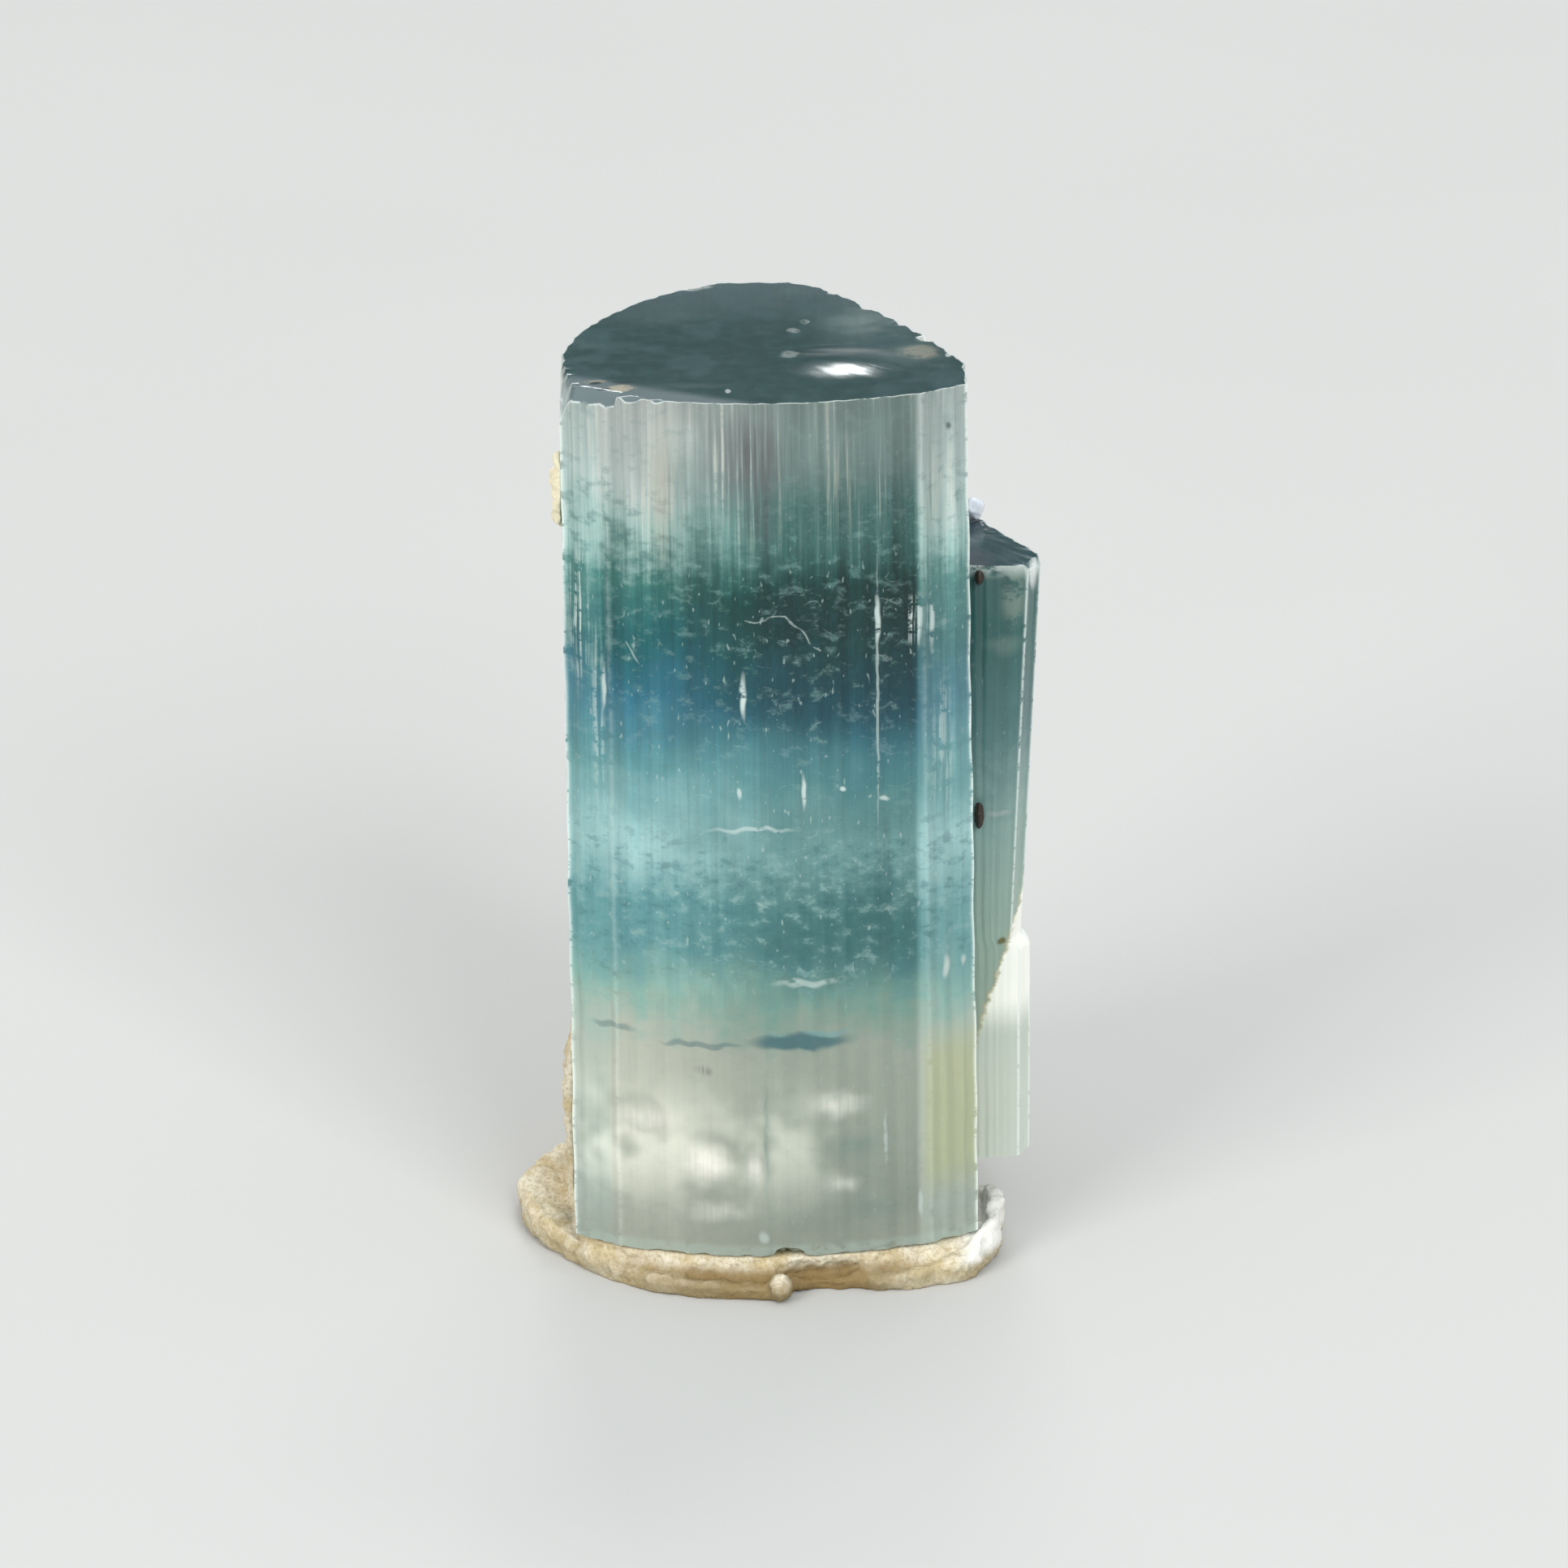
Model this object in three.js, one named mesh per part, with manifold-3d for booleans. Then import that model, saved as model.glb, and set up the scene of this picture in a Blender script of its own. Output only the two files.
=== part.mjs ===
// A natural tourmaline specimen: a striated trigonal prism with a flat end face, a smaller prism grown
// against its back right face, and the pale feldspar crust they stand on.
// Millimetres. +Z is the main crystal's c-axis, -Y its broad front face. The origin is where the c-axis
// meets the resting plane.
import * as THREE from "three";
import { mergeVertices } from "three/addons/utils/BufferGeometryUtils.js";
import Module from "manifold-3d";

const wasm = await Module();
wasm.setup();

// ---- Driving dimensions ------------------------------------------------------------------------

const MAIN_TOP = 32.4; // end face of the main crystal
const MAIN_BASE = 1.35; // its broken lower end, on the crust
const MAIN_TAPER = 0.035; // the lower end is this share wider than the end face
const MAIN_LEAN = 0.17; // and this far to the right of it
const MAIN_LEVELS = [0, 0.1, 0.23, 0.36, 0.5, 0.64, 0.78, 0.92, 1]; // rows of facets, as shares of height

const SIDE_TOP = 25.1;
const SIDE_BASE = 3.0;
const SIDE_REACH = 9.3; // its outermost face, at the top
const SIDE_LEAN = 0.045; // how far that face draws in for each millimetre down
const SIDE_WAIST = 11.4; // down to here, where a thicker overgrowth starts
const SIDE_FOOT_REACH = 9.0;
const SIDE_CONTACT = 5.0; // inward of this x it keeps its shape, where it meets the main crystal
const WAIST_STEP = 0.4; // height over which the overgrowth steps out
const SIDE_LEVELS = [0, 0.17, 0.33, 0.365, 0.55, 0.78, 1];

const STRIA_DEPTH = 0.13; // deepest striation groove
const CONTACT_GAP = 0.06; // clearance between crystals, and between crystal and crust
const SHORTEST_EDGE = 0.01;
const FACET_BULGE = 0.1; // faces that bulge more than this need several facets

// Prism faces, anticlockwise: the direction each faces, its distance from the c-axis, how far its middle
// bulges past a flat face, and the striations on it. The three m faces are the broad ones.
const MAIN_FACES = [
  { name: "m_front", facing: -90, distance: 5.15, bulge: 0.9, striae: 13 },
  { name: "a_front_right", facing: -60, distance: 7.05, bulge: 0.02, striae: 3 },
  { name: "a_right", facing: 0, distance: 6.72, bulge: 0.02, striae: 2 },
  { name: "m_back_right", facing: 30, distance: 4.74, bulge: 0.42, striae: 11 },
  { name: "a_back_right", facing: 60, distance: 6.25, bulge: 0.03, striae: 2 },
  { name: "back_corner", facing: 90, distance: 6.72, bulge: 0.03, striae: 2 },
  { name: "a_back_left", facing: 120, distance: 6.62, bulge: 0.03, striae: 3 },
  { name: "m_back_left", facing: 150, distance: 5.5, bulge: 0.78, striae: 10 },
  { name: "a_left", facing: 180, distance: 6.8, bulge: 0.02, striae: 3 },
  { name: "a_front_left", facing: 240, distance: 7.1, bulge: 0.02, striae: 3 },
];
const SIDE_FACES = [
  { name: "m_front", facing: -90, distance: 1.9, bulge: 0.08, striae: 6 },
  { name: "m_front_right", facing: -30, distance: 8.62, bulge: 0.01, striae: 1 },
  { name: "a_right", facing: 0, distance: SIDE_REACH, bulge: 0.01, striae: 1 },
  { name: "m_back_right", facing: 30, distance: 7.55, bulge: 0.12, striae: 8 },
  { name: "a_back_right", facing: 60, distance: 7.7, bulge: 0.01, striae: 1 },
  { name: "a_back_left", facing: 120, distance: 2.62, bulge: 0.02, striae: 2 },
  { name: "contact", facing: 210, distance: -3.7, bulge: 0, striae: 1 },
];

const PALETTE = {
  crystal: { color: 0x4f8186, roughness: 0.22, metalness: 0 },
  crust: { color: 0xd9cbb2, roughness: 0.85, metalness: 0 },
  grain: { color: 0xe9e6e0, roughness: 0.6, metalness: 0 },
  dark: { color: 0x17120e, roughness: 0.45, metalness: 0 },
};

// ---- Helpers -----------------------------------------------------------------------------------

// A repeatable number from 0 to 1 for each whole number, so that natural variation is the same every run.
function scatter(n) {
  const wave = Math.sin(n * 12.9898 + 4.1414) * 43758.5453;
  return wave - Math.floor(wave);
}

// A closed three.js geometry as a solid for joining and cutting. Triangles that have shrunk to a line,
// as at a lathe's poles, are left out.
function solid(geometry) {
  const bare = geometry.clone();
  bare.deleteAttribute("normal");
  bare.deleteAttribute("uv");
  const merged = mergeVertices(bare, 1e-4);
  const triangles = [];
  for (let i = 0; i < merged.index.count; i += 3) {
    const corners = [0, 1, 2].map((k) => merged.index.getX(i + k));
    if (new Set(corners).size === 3) triangles.push(...corners);
  }
  return new wasm.Manifold(
    new wasm.Mesh({
      numProp: 3,
      vertProperties: merged.getAttribute("position").array,
      triVerts: new Uint32Array(triangles),
    }),
  );
}

// The largest body of a solid, as a geometry: cutting can leave crumbs beside it, and edges far shorter
// than any facet.
function geometryOf(cut) {
  const bodies = cut.simplify(SHORTEST_EDGE).decompose();
  const mesh = bodies.sort((a, b) => b.volume() - a.volume())[0].getMesh();
  return new THREE.BufferGeometry()
    .setAttribute("position", new THREE.BufferAttribute(new Float32Array(mesh.vertProperties), 3))
    .setIndex(new THREE.BufferAttribute(new Uint32Array(mesh.triVerts), 1));
}

function piece(name, body, look) {
  const geometry = geometryOf(body);
  geometry.computeVertexNormals();
  const material = new THREE.MeshStandardMaterial({ ...look, flatShading: true });
  const mesh = new THREE.Mesh(geometry, material);
  mesh.name = name;
  return mesh;
}

// A tilted block that shaves an edge: it stands outside the plane through point, facing outward.
function shaver(point, outward, size) {
  const block = new THREE.BoxGeometry(size, size, size).translate(0, 0, size / 2);
  const up = new THREE.Vector3(0, 0, 1);
  const turn = new THREE.Quaternion().setFromUnitVectors(up, new THREE.Vector3(...outward).normalize());
  return solid(block.applyQuaternion(turn).translate(...point));
}

// A rough lump: a coarse ball with uneven corners, squashed to its half-widths and turned about Z.
function lump([x, y, z], [rx, ry, rz], turn = 0, seed = 1) {
  const ball = new THREE.IcosahedronGeometry(1, 1);
  const position = ball.getAttribute("position");
  const point = new THREE.Vector3();
  for (let i = 0; i < position.count; i++) {
    point.fromBufferAttribute(position, i);
    const corner = Math.round(point.x * 50) + Math.round(point.y * 50) * 7 + Math.round(point.z * 50) * 13;
    point.multiplyScalar(1 + 0.22 * (scatter(corner + seed * 31) - 0.5));
    position.setXYZ(i, point.x, point.y, point.z);
  }
  return solid(ball.scale(rx, ry, rz).rotateZ(THREE.MathUtils.degToRad(turn)).translate(x, y, z));
}

// ---- Crystals ----------------------------------------------------------------------------------

// Where the lines of two neighbouring faces cross.
function cornerOf(a, b) {
  const [ta, tb] = [a, b].map((face) => THREE.MathUtils.degToRad(face.facing));
  const turn = Math.sin(tb - ta);
  return new THREE.Vector2(
    (a.distance * Math.sin(tb) - b.distance * Math.sin(ta)) / turn,
    (b.distance * Math.cos(ta) - a.distance * Math.cos(tb)) / turn,
  );
}

// The outline of a prism: each face bulges a little and carries grooves of uneven width and depth.
function grooved(faces) {
  const points = [];
  faces.forEach((face, i) => {
    const steps = face.striae * 2; // a ridge and a valley each
    for (let k = 0; k < steps; k++) {
      const seed = i * 40 + k;
      const jitter = k === 0 ? 0 : (scatter(seed) - 0.5) * 0.7;
      const groove = k % 2 ? STRIA_DEPTH * (0.3 + 0.7 * scatter(seed + 500)) : 0;
      points.push(pointOnFace(faces, i, (k + jitter) / steps, -groove));
    }
  });
  return points;
}

// The same outline without grooves, a little larger, for cutting what grows against it.
function clearance(faces) {
  const wider = faces.map((face) => ({ ...face, distance: face.distance + CONTACT_GAP }));
  return wider.flatMap((face, i) => {
    const steps = face.bulge > FACET_BULGE ? 6 : 1;
    return Array.from({ length: steps }, (_, k) => pointOnFace(wider, i, k / steps, face.bulge * 0.08));
  });
}

// A point some share of the way along a face, raised by its bulge and by some more.
function pointOnFace(faces, i, along, raise) {
  const face = faces[i];
  const from = cornerOf(faces.at(i - 1), face);
  const to = cornerOf(face, faces[(i + 1) % faces.length]);
  const facing = THREE.MathUtils.degToRad(face.facing);
  const out = new THREE.Vector2(Math.cos(facing), Math.sin(facing));
  const bulge = face.bulge * (1 - (2 * along - 1) ** 2);
  return from.clone().lerp(to, along).addScaledVector(out, bulge + raise);
}

// A prism with its rows of vertices at given shares of its height. Place bends it: it gives a point's x
// and y at a height.
function prism(outline, base, top, levels, place) {
  const height = top - base;
  const geometry = new THREE.ExtrudeGeometry(new THREE.Shape(outline), {
    depth: 1,
    steps: levels.length - 1,
    bevelEnabled: false,
  });
  const position = geometry.getAttribute("position");
  for (let i = 0; i < position.count; i++) {
    const z = base + height * levels[Math.round(position.getZ(i) * (levels.length - 1))];
    const spot = place(position.getX(i), position.getY(i), z);
    position.setXYZ(i, spot.x, spot.y, z);
  }
  return solid(geometry);
}

// The main crystal widens and leans downwards, and its faces waver by a few hundredths.
function placeMain(x, y, z) {
  const down = (MAIN_TOP - z) / (MAIN_TOP - MAIN_BASE);
  const angle = Math.atan2(y, x);
  const waver = 0.0025 * Math.sin(2.1 * z + 9 * angle) + 0.002 * Math.sin(0.7 * z - 4 * angle);
  const scale = 1 + MAIN_TAPER * down + waver * Math.min(down * 8, 1);
  return new THREE.Vector2(x * scale + MAIN_LEAN * down, y * scale);
}

// The side crystal's outer faces draw in down to the waist. Its contact with the main crystal stays.
function placeSide(x, y, z) {
  const aboveWaist = z > SIDE_WAIST - WAIST_STEP;
  const reach = aboveWaist ? SIDE_REACH - SIDE_LEAN * (SIDE_TOP - z) : SIDE_FOOT_REACH;
  const share = Math.max(x - SIDE_CONTACT, 0) / (SIDE_REACH - SIDE_CONTACT);
  return new THREE.Vector2(x - (SIDE_REACH - reach) * share, y + 0.01 * Math.sin(1.3 * z + 2 * y));
}

const MAIN_HULL = clearance(MAIN_FACES);
const SIDE_HULL = clearance(SIDE_FACES);
const nearMain = prism(
  MAIN_HULL,
  MAIN_BASE - CONTACT_GAP,
  MAIN_TOP + 1,
  [0, 1],
  placeMain,
);
const nearSide = prism(
  SIDE_HULL,
  SIDE_BASE - CONTACT_GAP,
  SIDE_TOP + CONTACT_GAP,
  SIDE_LEVELS,
  placeSide,
);

// Chips along an edge: where each is, and its half-width.
const END_CHIPS = [
  [-4.5, -5.5, 0.32],
  [-3.6, -5.75, 0.24],
  [5.6, 0.5, 0.3],
  [4.75, 2.2, 0.26],
  [3.75, 4.05, 0.42],
  [2.5, 5.6, 0.26],
  [-2.6, 6.5, 0.36],
  [-5.2, 4.0, 0.3],
];
const BASE_CHIPS = [
  [0.6, -6.4, 0.5],
  [-3.4, -6.1, 0.36],
  [4.6, -5.8, 0.4],
];
const SIDE_CHIPS = [
  [8.0, 2.0, 0.26],
  [6.4, 4.8, 0.32],
];

function chipped(body, chips, height, seed) {
  return chips.reduce((rest, [x, y, half], i) => {
    const chip = lump([x, y, height], [half * 1.4, half, half * 0.7], 0, seed + i);
    return rest.subtract(chip);
  }, body);
}

function mainCrystal() {
  let body = prism(grooved(MAIN_FACES), MAIN_BASE, MAIN_TOP, MAIN_LEVELS, placeMain);
  body = body.subtract(shaver([-6.5, -2.9, MAIN_TOP], [-0.9, -0.15, 0.42], 4)); // bevel on the left rim
  body = body.subtract(shaver([-5.6, -4.35, MAIN_TOP], [-0.3, -0.55, 0.8], 2.2)); // worn left corner
  body = chipped(body, END_CHIPS, MAIN_TOP + 0.06, 10);
  body = chipped(body, BASE_CHIPS, MAIN_BASE, 30);
  const hillock = new THREE.ConeGeometry(1.6, 0.2, 9).rotateX(Math.PI / 2).translate(2.7, -3.0, MAIN_TOP);
  return body.add(solid(hillock)); // a low growth hill on the end face
}

function sideCrystal() {
  let body = prism(grooved(SIDE_FACES), SIDE_BASE, SIDE_TOP, SIDE_LEVELS, placeSide).subtract(nearMain);
  body = body.subtract(shaver([9.0, -1.3, SIDE_TOP], [0.8, -0.4, 0.45], 2)); // worn outer corner
  return chipped(body, SIDE_CHIPS, SIDE_TOP + 0.05, 50);
}

// ---- Crust -------------------------------------------------------------------------------------

// The crust's form around the c-axis, by direction in degrees. The plate's rim: its radius, the height of
// its top, and how far its lower edge lifts off the resting plane. The crust that climbs the crystals:
// the height it reaches, and its thickness.
const CRUST_FORM = [
  { at: 0, rim: 6.8, top: 1.2, lift: 0.3, climb: 10.3, thick: 0.1 },
  { at: 12, rim: 6.8, top: 1.2, lift: 0, climb: 10.0, thick: 0.3 },
  { at: 26, rim: 6.9, top: 1.2, lift: 0, climb: 9.0, thick: 0.5 },
  { at: 46, rim: 7.0, top: 1.3, lift: 0, climb: 8.4, thick: 0.6 },
  { at: 62, rim: 7.5, top: 1.4, lift: 0, climb: 9.0, thick: 0.85 },
  { at: 78, rim: 7.9, top: 1.4, lift: 0, climb: 7.4, thick: 0.7 },
  { at: 95, rim: 8.1, top: 1.3, lift: 0, climb: 8.4, thick: 0.75 },
  { at: 112, rim: 8.0, top: 1.2, lift: 0, climb: 6.8, thick: 0.6 },
  { at: 132, rim: 7.9, top: 1.2, lift: 0, climb: 8.2, thick: 0.7 },
  { at: 151, rim: 8.3, top: 1.15, lift: 0.1, climb: 7.4, thick: 0.6 },
  { at: 165, rim: 8.85, top: 1.2, lift: 0.15, climb: 8.0, thick: 0.45 },
  { at: 176, rim: 9.13, top: 1.2, lift: 0.15, climb: 8.4, thick: 0.45 },
  { at: 185, rim: 8.85, top: 1.15, lift: 0.05, climb: 8.0, thick: 0.3 },
  { at: 193, rim: 8.55, top: 1.1, lift: 0, climb: 4.0, thick: -1.5 },
  { at: 214, rim: 8.02, top: 0.95, lift: 0, climb: 3.0, thick: -1.5 },
  { at: 235, rim: 7.6, top: 0.75, lift: 0, climb: 3.0, thick: -1.5 },
  { at: 258, rim: 7.12, top: 0.6, lift: 0, climb: 3.0, thick: -1.5 },
  { at: 270, rim: 7.15, top: 0.6, lift: 0, climb: 3.0, thick: -1.5 },
  { at: 278, rim: 6.35, top: 0.5, lift: 0, climb: 3.0, thick: -1.5 },
  { at: 294, rim: 6.75, top: 0.55, lift: 0, climb: 3.0, thick: -1.5 },
  { at: 302, rim: 7.5, top: 0.7, lift: 0, climb: 3.0, thick: -1.5 },
  { at: 311, rim: 8.25, top: 0.85, lift: 0, climb: 3.0, thick: -1.5 },
  { at: 322, rim: 8.9, top: 1.15, lift: 0, climb: 3.0, thick: -1.5 },
  { at: 332, rim: 8.8, top: 1.45, lift: 0.15, climb: 3.0, thick: -1.5 },
  { at: 342, rim: 8.5, top: 1.7, lift: 0.3, climb: 3.0, thick: -1.5 },
  { at: 351, rim: 8.1, top: 1.7, lift: 0.45, climb: 3.0, thick: -1.5 },
  { at: 357, rim: 6.9, top: 1.4, lift: 0.5, climb: 10.4, thick: -0.05 },
];
const CRUST_SPOKES = 108;
const CLIMB_ROWS = 9;
const SHARED_BASE = 3.15; // crust on the side crystal starts at this height
const UPPER_LUMPS = 7;
const UPPER_HEIGHT = 27.5;
const CRUST_CLOSE = 5; // its surface closes on the c-axis at this height, hidden in the main crystal
const HIDDEN = 0.25; // how far crust surfaces run on inside the crystals, where they are cut away
const RIM_WIDTH = 0.55; // from the plate's widest line in to its rolled top
const RIM_UNDERCUT = 0.14; // how far its foot stands in from that line
const DISH_HEIGHT = 0.85; // highest that the dished plate stands against the crystal

// The crust's form in one direction, between the two nearest ones stated.
function formAt(degrees) {
  const after = CRUST_FORM.findIndex((form) => form.at > degrees);
  const next = after < 0 ? { ...CRUST_FORM[0], at: 360 } : CRUST_FORM[after];
  const last = CRUST_FORM.at(after < 0 ? -1 : after - 1);
  const share = (degrees - last.at) / (next.at - last.at);
  const smooth = share * share * (3 - 2 * share);
  const blended = Object.keys(last).map((key) => [key, THREE.MathUtils.lerp(last[key], next[key], smooth)]);
  return Object.fromEntries(blended);
}

// How far a prism reaches from the c-axis in one direction at one height, or 0 if it isn't that way.
function reachOf(hull, place, angle, z) {
  const outline = hull.map((corner) => place(corner.x, corner.y, z));
  const ray = new THREE.Vector2(Math.cos(angle), Math.sin(angle));
  return outline.reduce((reach, from, i) => {
    const edge = outline[(i + 1) % outline.length].clone().sub(from);
    const turn = ray.cross(edge);
    const along = from.cross(edge) / turn;
    const share = from.cross(ray) / turn;
    return share >= 0 && share <= 1 && along > reach ? along : reach;
  }, 0);
}

// How far the crust stands off the crystals, up its climb from 0 at the plate to 1 at its upper edge.
function climbThickness(form, angle, z, climbed, uneven) {
  if (form.thick < 0) return form.thick;
  const swell = Math.sin(1.16 * (z - 4.1) + 1.8 * Math.sin(3 * angle + Math.PI));
  const lumps = 1 + 0.35 * swell + 0.4 * uneven;
  return form.thick * lumps * (1 - 0.65 * climbed ** 4) + 0.1;
}

// The crust's surface in one direction, from the middle of its flat underside out, over the rim, in
// across the dished plate and up the crystals. Each entry is a radius and a height.
function crustProfile(angle, spoke) {
  const form = formAt(THREE.MathUtils.radToDeg(angle));
  const uneven = (row) => scatter(spoke * 17 + row) - 0.5;
  const wall = reachOf(MAIN_HULL, placeMain, angle, MAIN_BASE);
  const climbFoot = wall + climbThickness(form, angle, MAIN_BASE, 0, 0);
  const climbs = form.thick > 0;
  const dish = climbs ? climbFoot + 0.1 : Math.min(wall + 0.1, form.rim - RIM_WIDTH - 0.1);
  const rim = Math.max(form.rim + 0.16 * uneven(1), climbs ? dish + 0.3 : 0);
  const top = form.top + 0.14 * uneven(2);
  const profile = [
    [0, 0],
    [rim - RIM_UNDERCUT - form.lift * 1.2, 0],
    [rim - RIM_UNDERCUT / 2, form.lift + 0.25],
    [rim, (form.lift + top + 0.2) / 2],
    [rim - 0.18, top],
    [Math.max(rim - RIM_WIDTH, dish + 0.02), top - 0.05],
    [dish, Math.min(DISH_HEIGHT, top - 0.15)],
  ];
  const edge = form.climb + 0.3 * Math.sin(5 * angle) + 0.25 * Math.sin(13 * angle + 1) + 0.3 * uneven(3);
  const shared = reachOf(SIDE_HULL, placeSide, angle, SHARED_BASE) > 0;
  const start = SHARED_BASE + 0.6 * scatter(spoke + 900);
  for (let row = 0; row <= CLIMB_ROWS; row++) {
    const low = 1.25 + (row / CLIMB_ROWS) * 1.6;
    const base = shared ? start : low;
    const foot = shared && row === 1 ? SHARED_BASE - 0.08 : low;
    const z = row < 2 ? foot : base + ((edge - base) * (row - 1)) / (CLIMB_ROWS - 1);
    const beside = shared && row > 1 ? reachOf(SIDE_HULL, placeSide, angle, z) : 0;
    const against = Math.max(reachOf(MAIN_HULL, placeMain, angle, z), beside);
    const stand = climbThickness(form, angle, z, row / CLIMB_ROWS, uneven(10 + row));
    const radius = against + (row < CLIMB_ROWS ? stand : -2 * HIDDEN);
    const inside = wall - HIDDEN;
    const footRadius = shared && row ? inside : THREE.MathUtils.clamp(radius, inside, dish - 0.02);
    profile.push([row < 2 ? footRadius : radius, z]);
  }
  profile.push([0, CRUST_CLOSE]); // closes inside the main crystal
  return profile;
}

function crustShell() {
  const angles = Array.from({ length: CRUST_SPOKES }, (_, i) => (i / CRUST_SPOKES) * 2 * Math.PI);
  const profiles = angles.map(crustProfile);
  const rings = profiles[0].length;
  const blank = Array.from({ length: rings }, (_, j) => new THREE.Vector2(j && j < rings - 1 ? 1 : 0, j));
  const geometry = new THREE.LatheGeometry(blank, CRUST_SPOKES);
  const position = geometry.getAttribute("position");
  for (let i = 0; i < position.count; i++) {
    const spoke = Math.floor(i / rings) % CRUST_SPOKES;
    const ring = i % rings;
    const [radius, height] = profiles[spoke][ring];
    position.setXYZ(i, radius * Math.cos(angles[spoke]), radius * Math.sin(angles[spoke]), height);
  }
  return solid(geometry);
}

function matrixCrust() {
  const nub = lump([0.2, -6.95, 0.5], [0.42, 0.55, 0.5], 0, 130);
  const ground = solid(new THREE.BoxGeometry(60, 60, 10).translate(0, 0, -5));
  return crustShell().add(nub).subtract(nearMain).subtract(nearSide).subtract(ground);
}

// A separate patch of the same crust high on the left, as lumps that run into each other.
function upperCrust() {
  const lumps = Array.from({ length: UPPER_LUMPS }, (_, i) => {
    const degrees = 189 - 4.4 * i;
    const angle = THREE.MathUtils.degToRad(degrees);
    const z = UPPER_HEIGHT + 0.6 * Math.sin(2.3 * i);
    const radius = reachOf(MAIN_HULL, placeMain, angle, z) - 0.06;
    const size = 0.95 + 0.3 * scatter(i + 60);
    const centre = [radius * Math.cos(angle), radius * Math.sin(angle), z];
    return lump(centre, [0.42 * size, size, size * 0.95], degrees, 300 + i);
  });
  return lumps.reduce((patch, next) => patch.add(next)).subtract(nearMain);
}

// ---- Grains ------------------------------------------------------------------------------------

const whiteGrain = () => lump([7.15, 2.5, SIDE_TOP + 0.44], [0.36, 0.38, 0.4], 20, 401);

// A dark sliver in the seam between the crystals, standing against the side crystal's front face.
const darkGrain = (height, length) => lump([7.2, -2.2, height], [0.17, 0.17, length / 2], 0, 410);

// ---- The specimen ------------------------------------------------------------------------------

const specimen = new THREE.Group();
specimen.add(
  piece("main_crystal", mainCrystal(), PALETTE.crystal),
  piece("side_crystal", sideCrystal(), PALETTE.crystal),
  piece("matrix_crust", matrixCrust(), PALETTE.crust),
  piece("upper_crust", upperCrust(), PALETTE.crust),
  piece("white_grain", whiteGrain(), PALETTE.grain),
  piece("dark_grain_upper", darkGrain(24.75, 0.55), PALETTE.dark),
  piece("dark_grain_lower", darkGrain(16.05, 1.05), PALETTE.dark),
);

export default specimen;
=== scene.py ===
import math
from collections import namedtuple

import bpy
import numpy as np
from mathutils import Matrix, Vector, noise


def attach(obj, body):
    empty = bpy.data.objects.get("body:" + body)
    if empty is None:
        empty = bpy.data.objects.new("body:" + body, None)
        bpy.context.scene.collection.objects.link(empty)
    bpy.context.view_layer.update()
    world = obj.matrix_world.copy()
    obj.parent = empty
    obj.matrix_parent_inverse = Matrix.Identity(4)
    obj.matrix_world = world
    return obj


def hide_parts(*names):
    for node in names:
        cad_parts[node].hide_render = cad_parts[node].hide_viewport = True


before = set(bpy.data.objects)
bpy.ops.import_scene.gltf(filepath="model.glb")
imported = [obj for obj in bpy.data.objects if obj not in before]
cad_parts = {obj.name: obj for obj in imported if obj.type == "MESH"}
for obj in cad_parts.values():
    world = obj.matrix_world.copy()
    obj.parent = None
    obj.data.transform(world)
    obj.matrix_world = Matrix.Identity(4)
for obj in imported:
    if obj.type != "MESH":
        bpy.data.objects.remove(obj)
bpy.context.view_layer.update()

# A natural indicolite tourmaline specimen. Lengths are millimetres unless a name or comment says otherwise,
# and every mesh is scaled to metres as it is made. +Z is the main crystal's c-axis and -Y its front.

MM = 0.001

# ---- The crystals' sections, as in the solids ----

Face = namedtuple("Face", "facing distance bulge striae")

MAIN_TOP = 32.4
MAIN_BASE = 1.35
MAIN_TAPER = 0.035
MAIN_LEAN = 0.17
SIDE_TOP = 25.1
SIDE_BASE = 3.0
SIDE_REACH = 9.3
SIDE_LEAN = 0.045
SIDE_WAIST = 11.4
WAIST_STEP = 0.4
SIDE_FOOT_REACH = 9.0
SIDE_CONTACT = 5.0
STRIA_DEPTH = 0.13
CONTACT_GAP = 0.06

MAIN_FACES = [
    Face(-90, 5.15, 0.9, 13),
    Face(-60, 7.05, 0.02, 3),
    Face(0, 6.72, 0.02, 2),
    Face(30, 4.74, 0.42, 11),
    Face(60, 6.25, 0.03, 2),
    Face(90, 6.72, 0.03, 2),
    Face(120, 6.62, 0.03, 3),
    Face(150, 5.5, 0.78, 10),
    Face(180, 6.8, 0.02, 3),
    Face(240, 7.1, 0.02, 3),
]
SIDE_FACES = [
    Face(-90, 1.9, 0.08, 6),
    Face(-30, 8.62, 0.01, 1),
    Face(0, 9.3, 0.01, 1),
    Face(30, 7.55, 0.12, 8),
    Face(60, 7.7, 0.01, 1),
    Face(120, 2.62, 0.02, 2),
    Face(210, -3.7, 0, 1),
]
CONTACT_FACE = MAIN_FACES[3]  # the main crystal's face that the side crystal grew on


def scatter(n):
    """A repeatable number from 0 to 1 for each whole number."""
    wave = np.sin(np.asarray(n, float) * 12.9898 + 4.1414) * 43758.5453
    return wave - np.floor(wave)


def unit(degrees):
    """The level direction that faces this way, counted from +X."""
    return np.array([math.cos(math.radians(degrees)), math.sin(math.radians(degrees))])


def corner_of(a, b):
    """Where the planes of two faces meet."""
    ta, tb = math.radians(a.facing), math.radians(b.facing)
    turn = math.sin(tb - ta)
    return np.array([
        (a.distance * math.sin(tb) - b.distance * math.sin(ta)) / turn,
        (b.distance * math.cos(ta) - a.distance * math.cos(tb)) / turn,
    ])


def corners(faces):
    """Where each face of a prism starts."""
    return [corner_of(faces[i - 1], faces[i]) for i in range(len(faces))]


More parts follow.
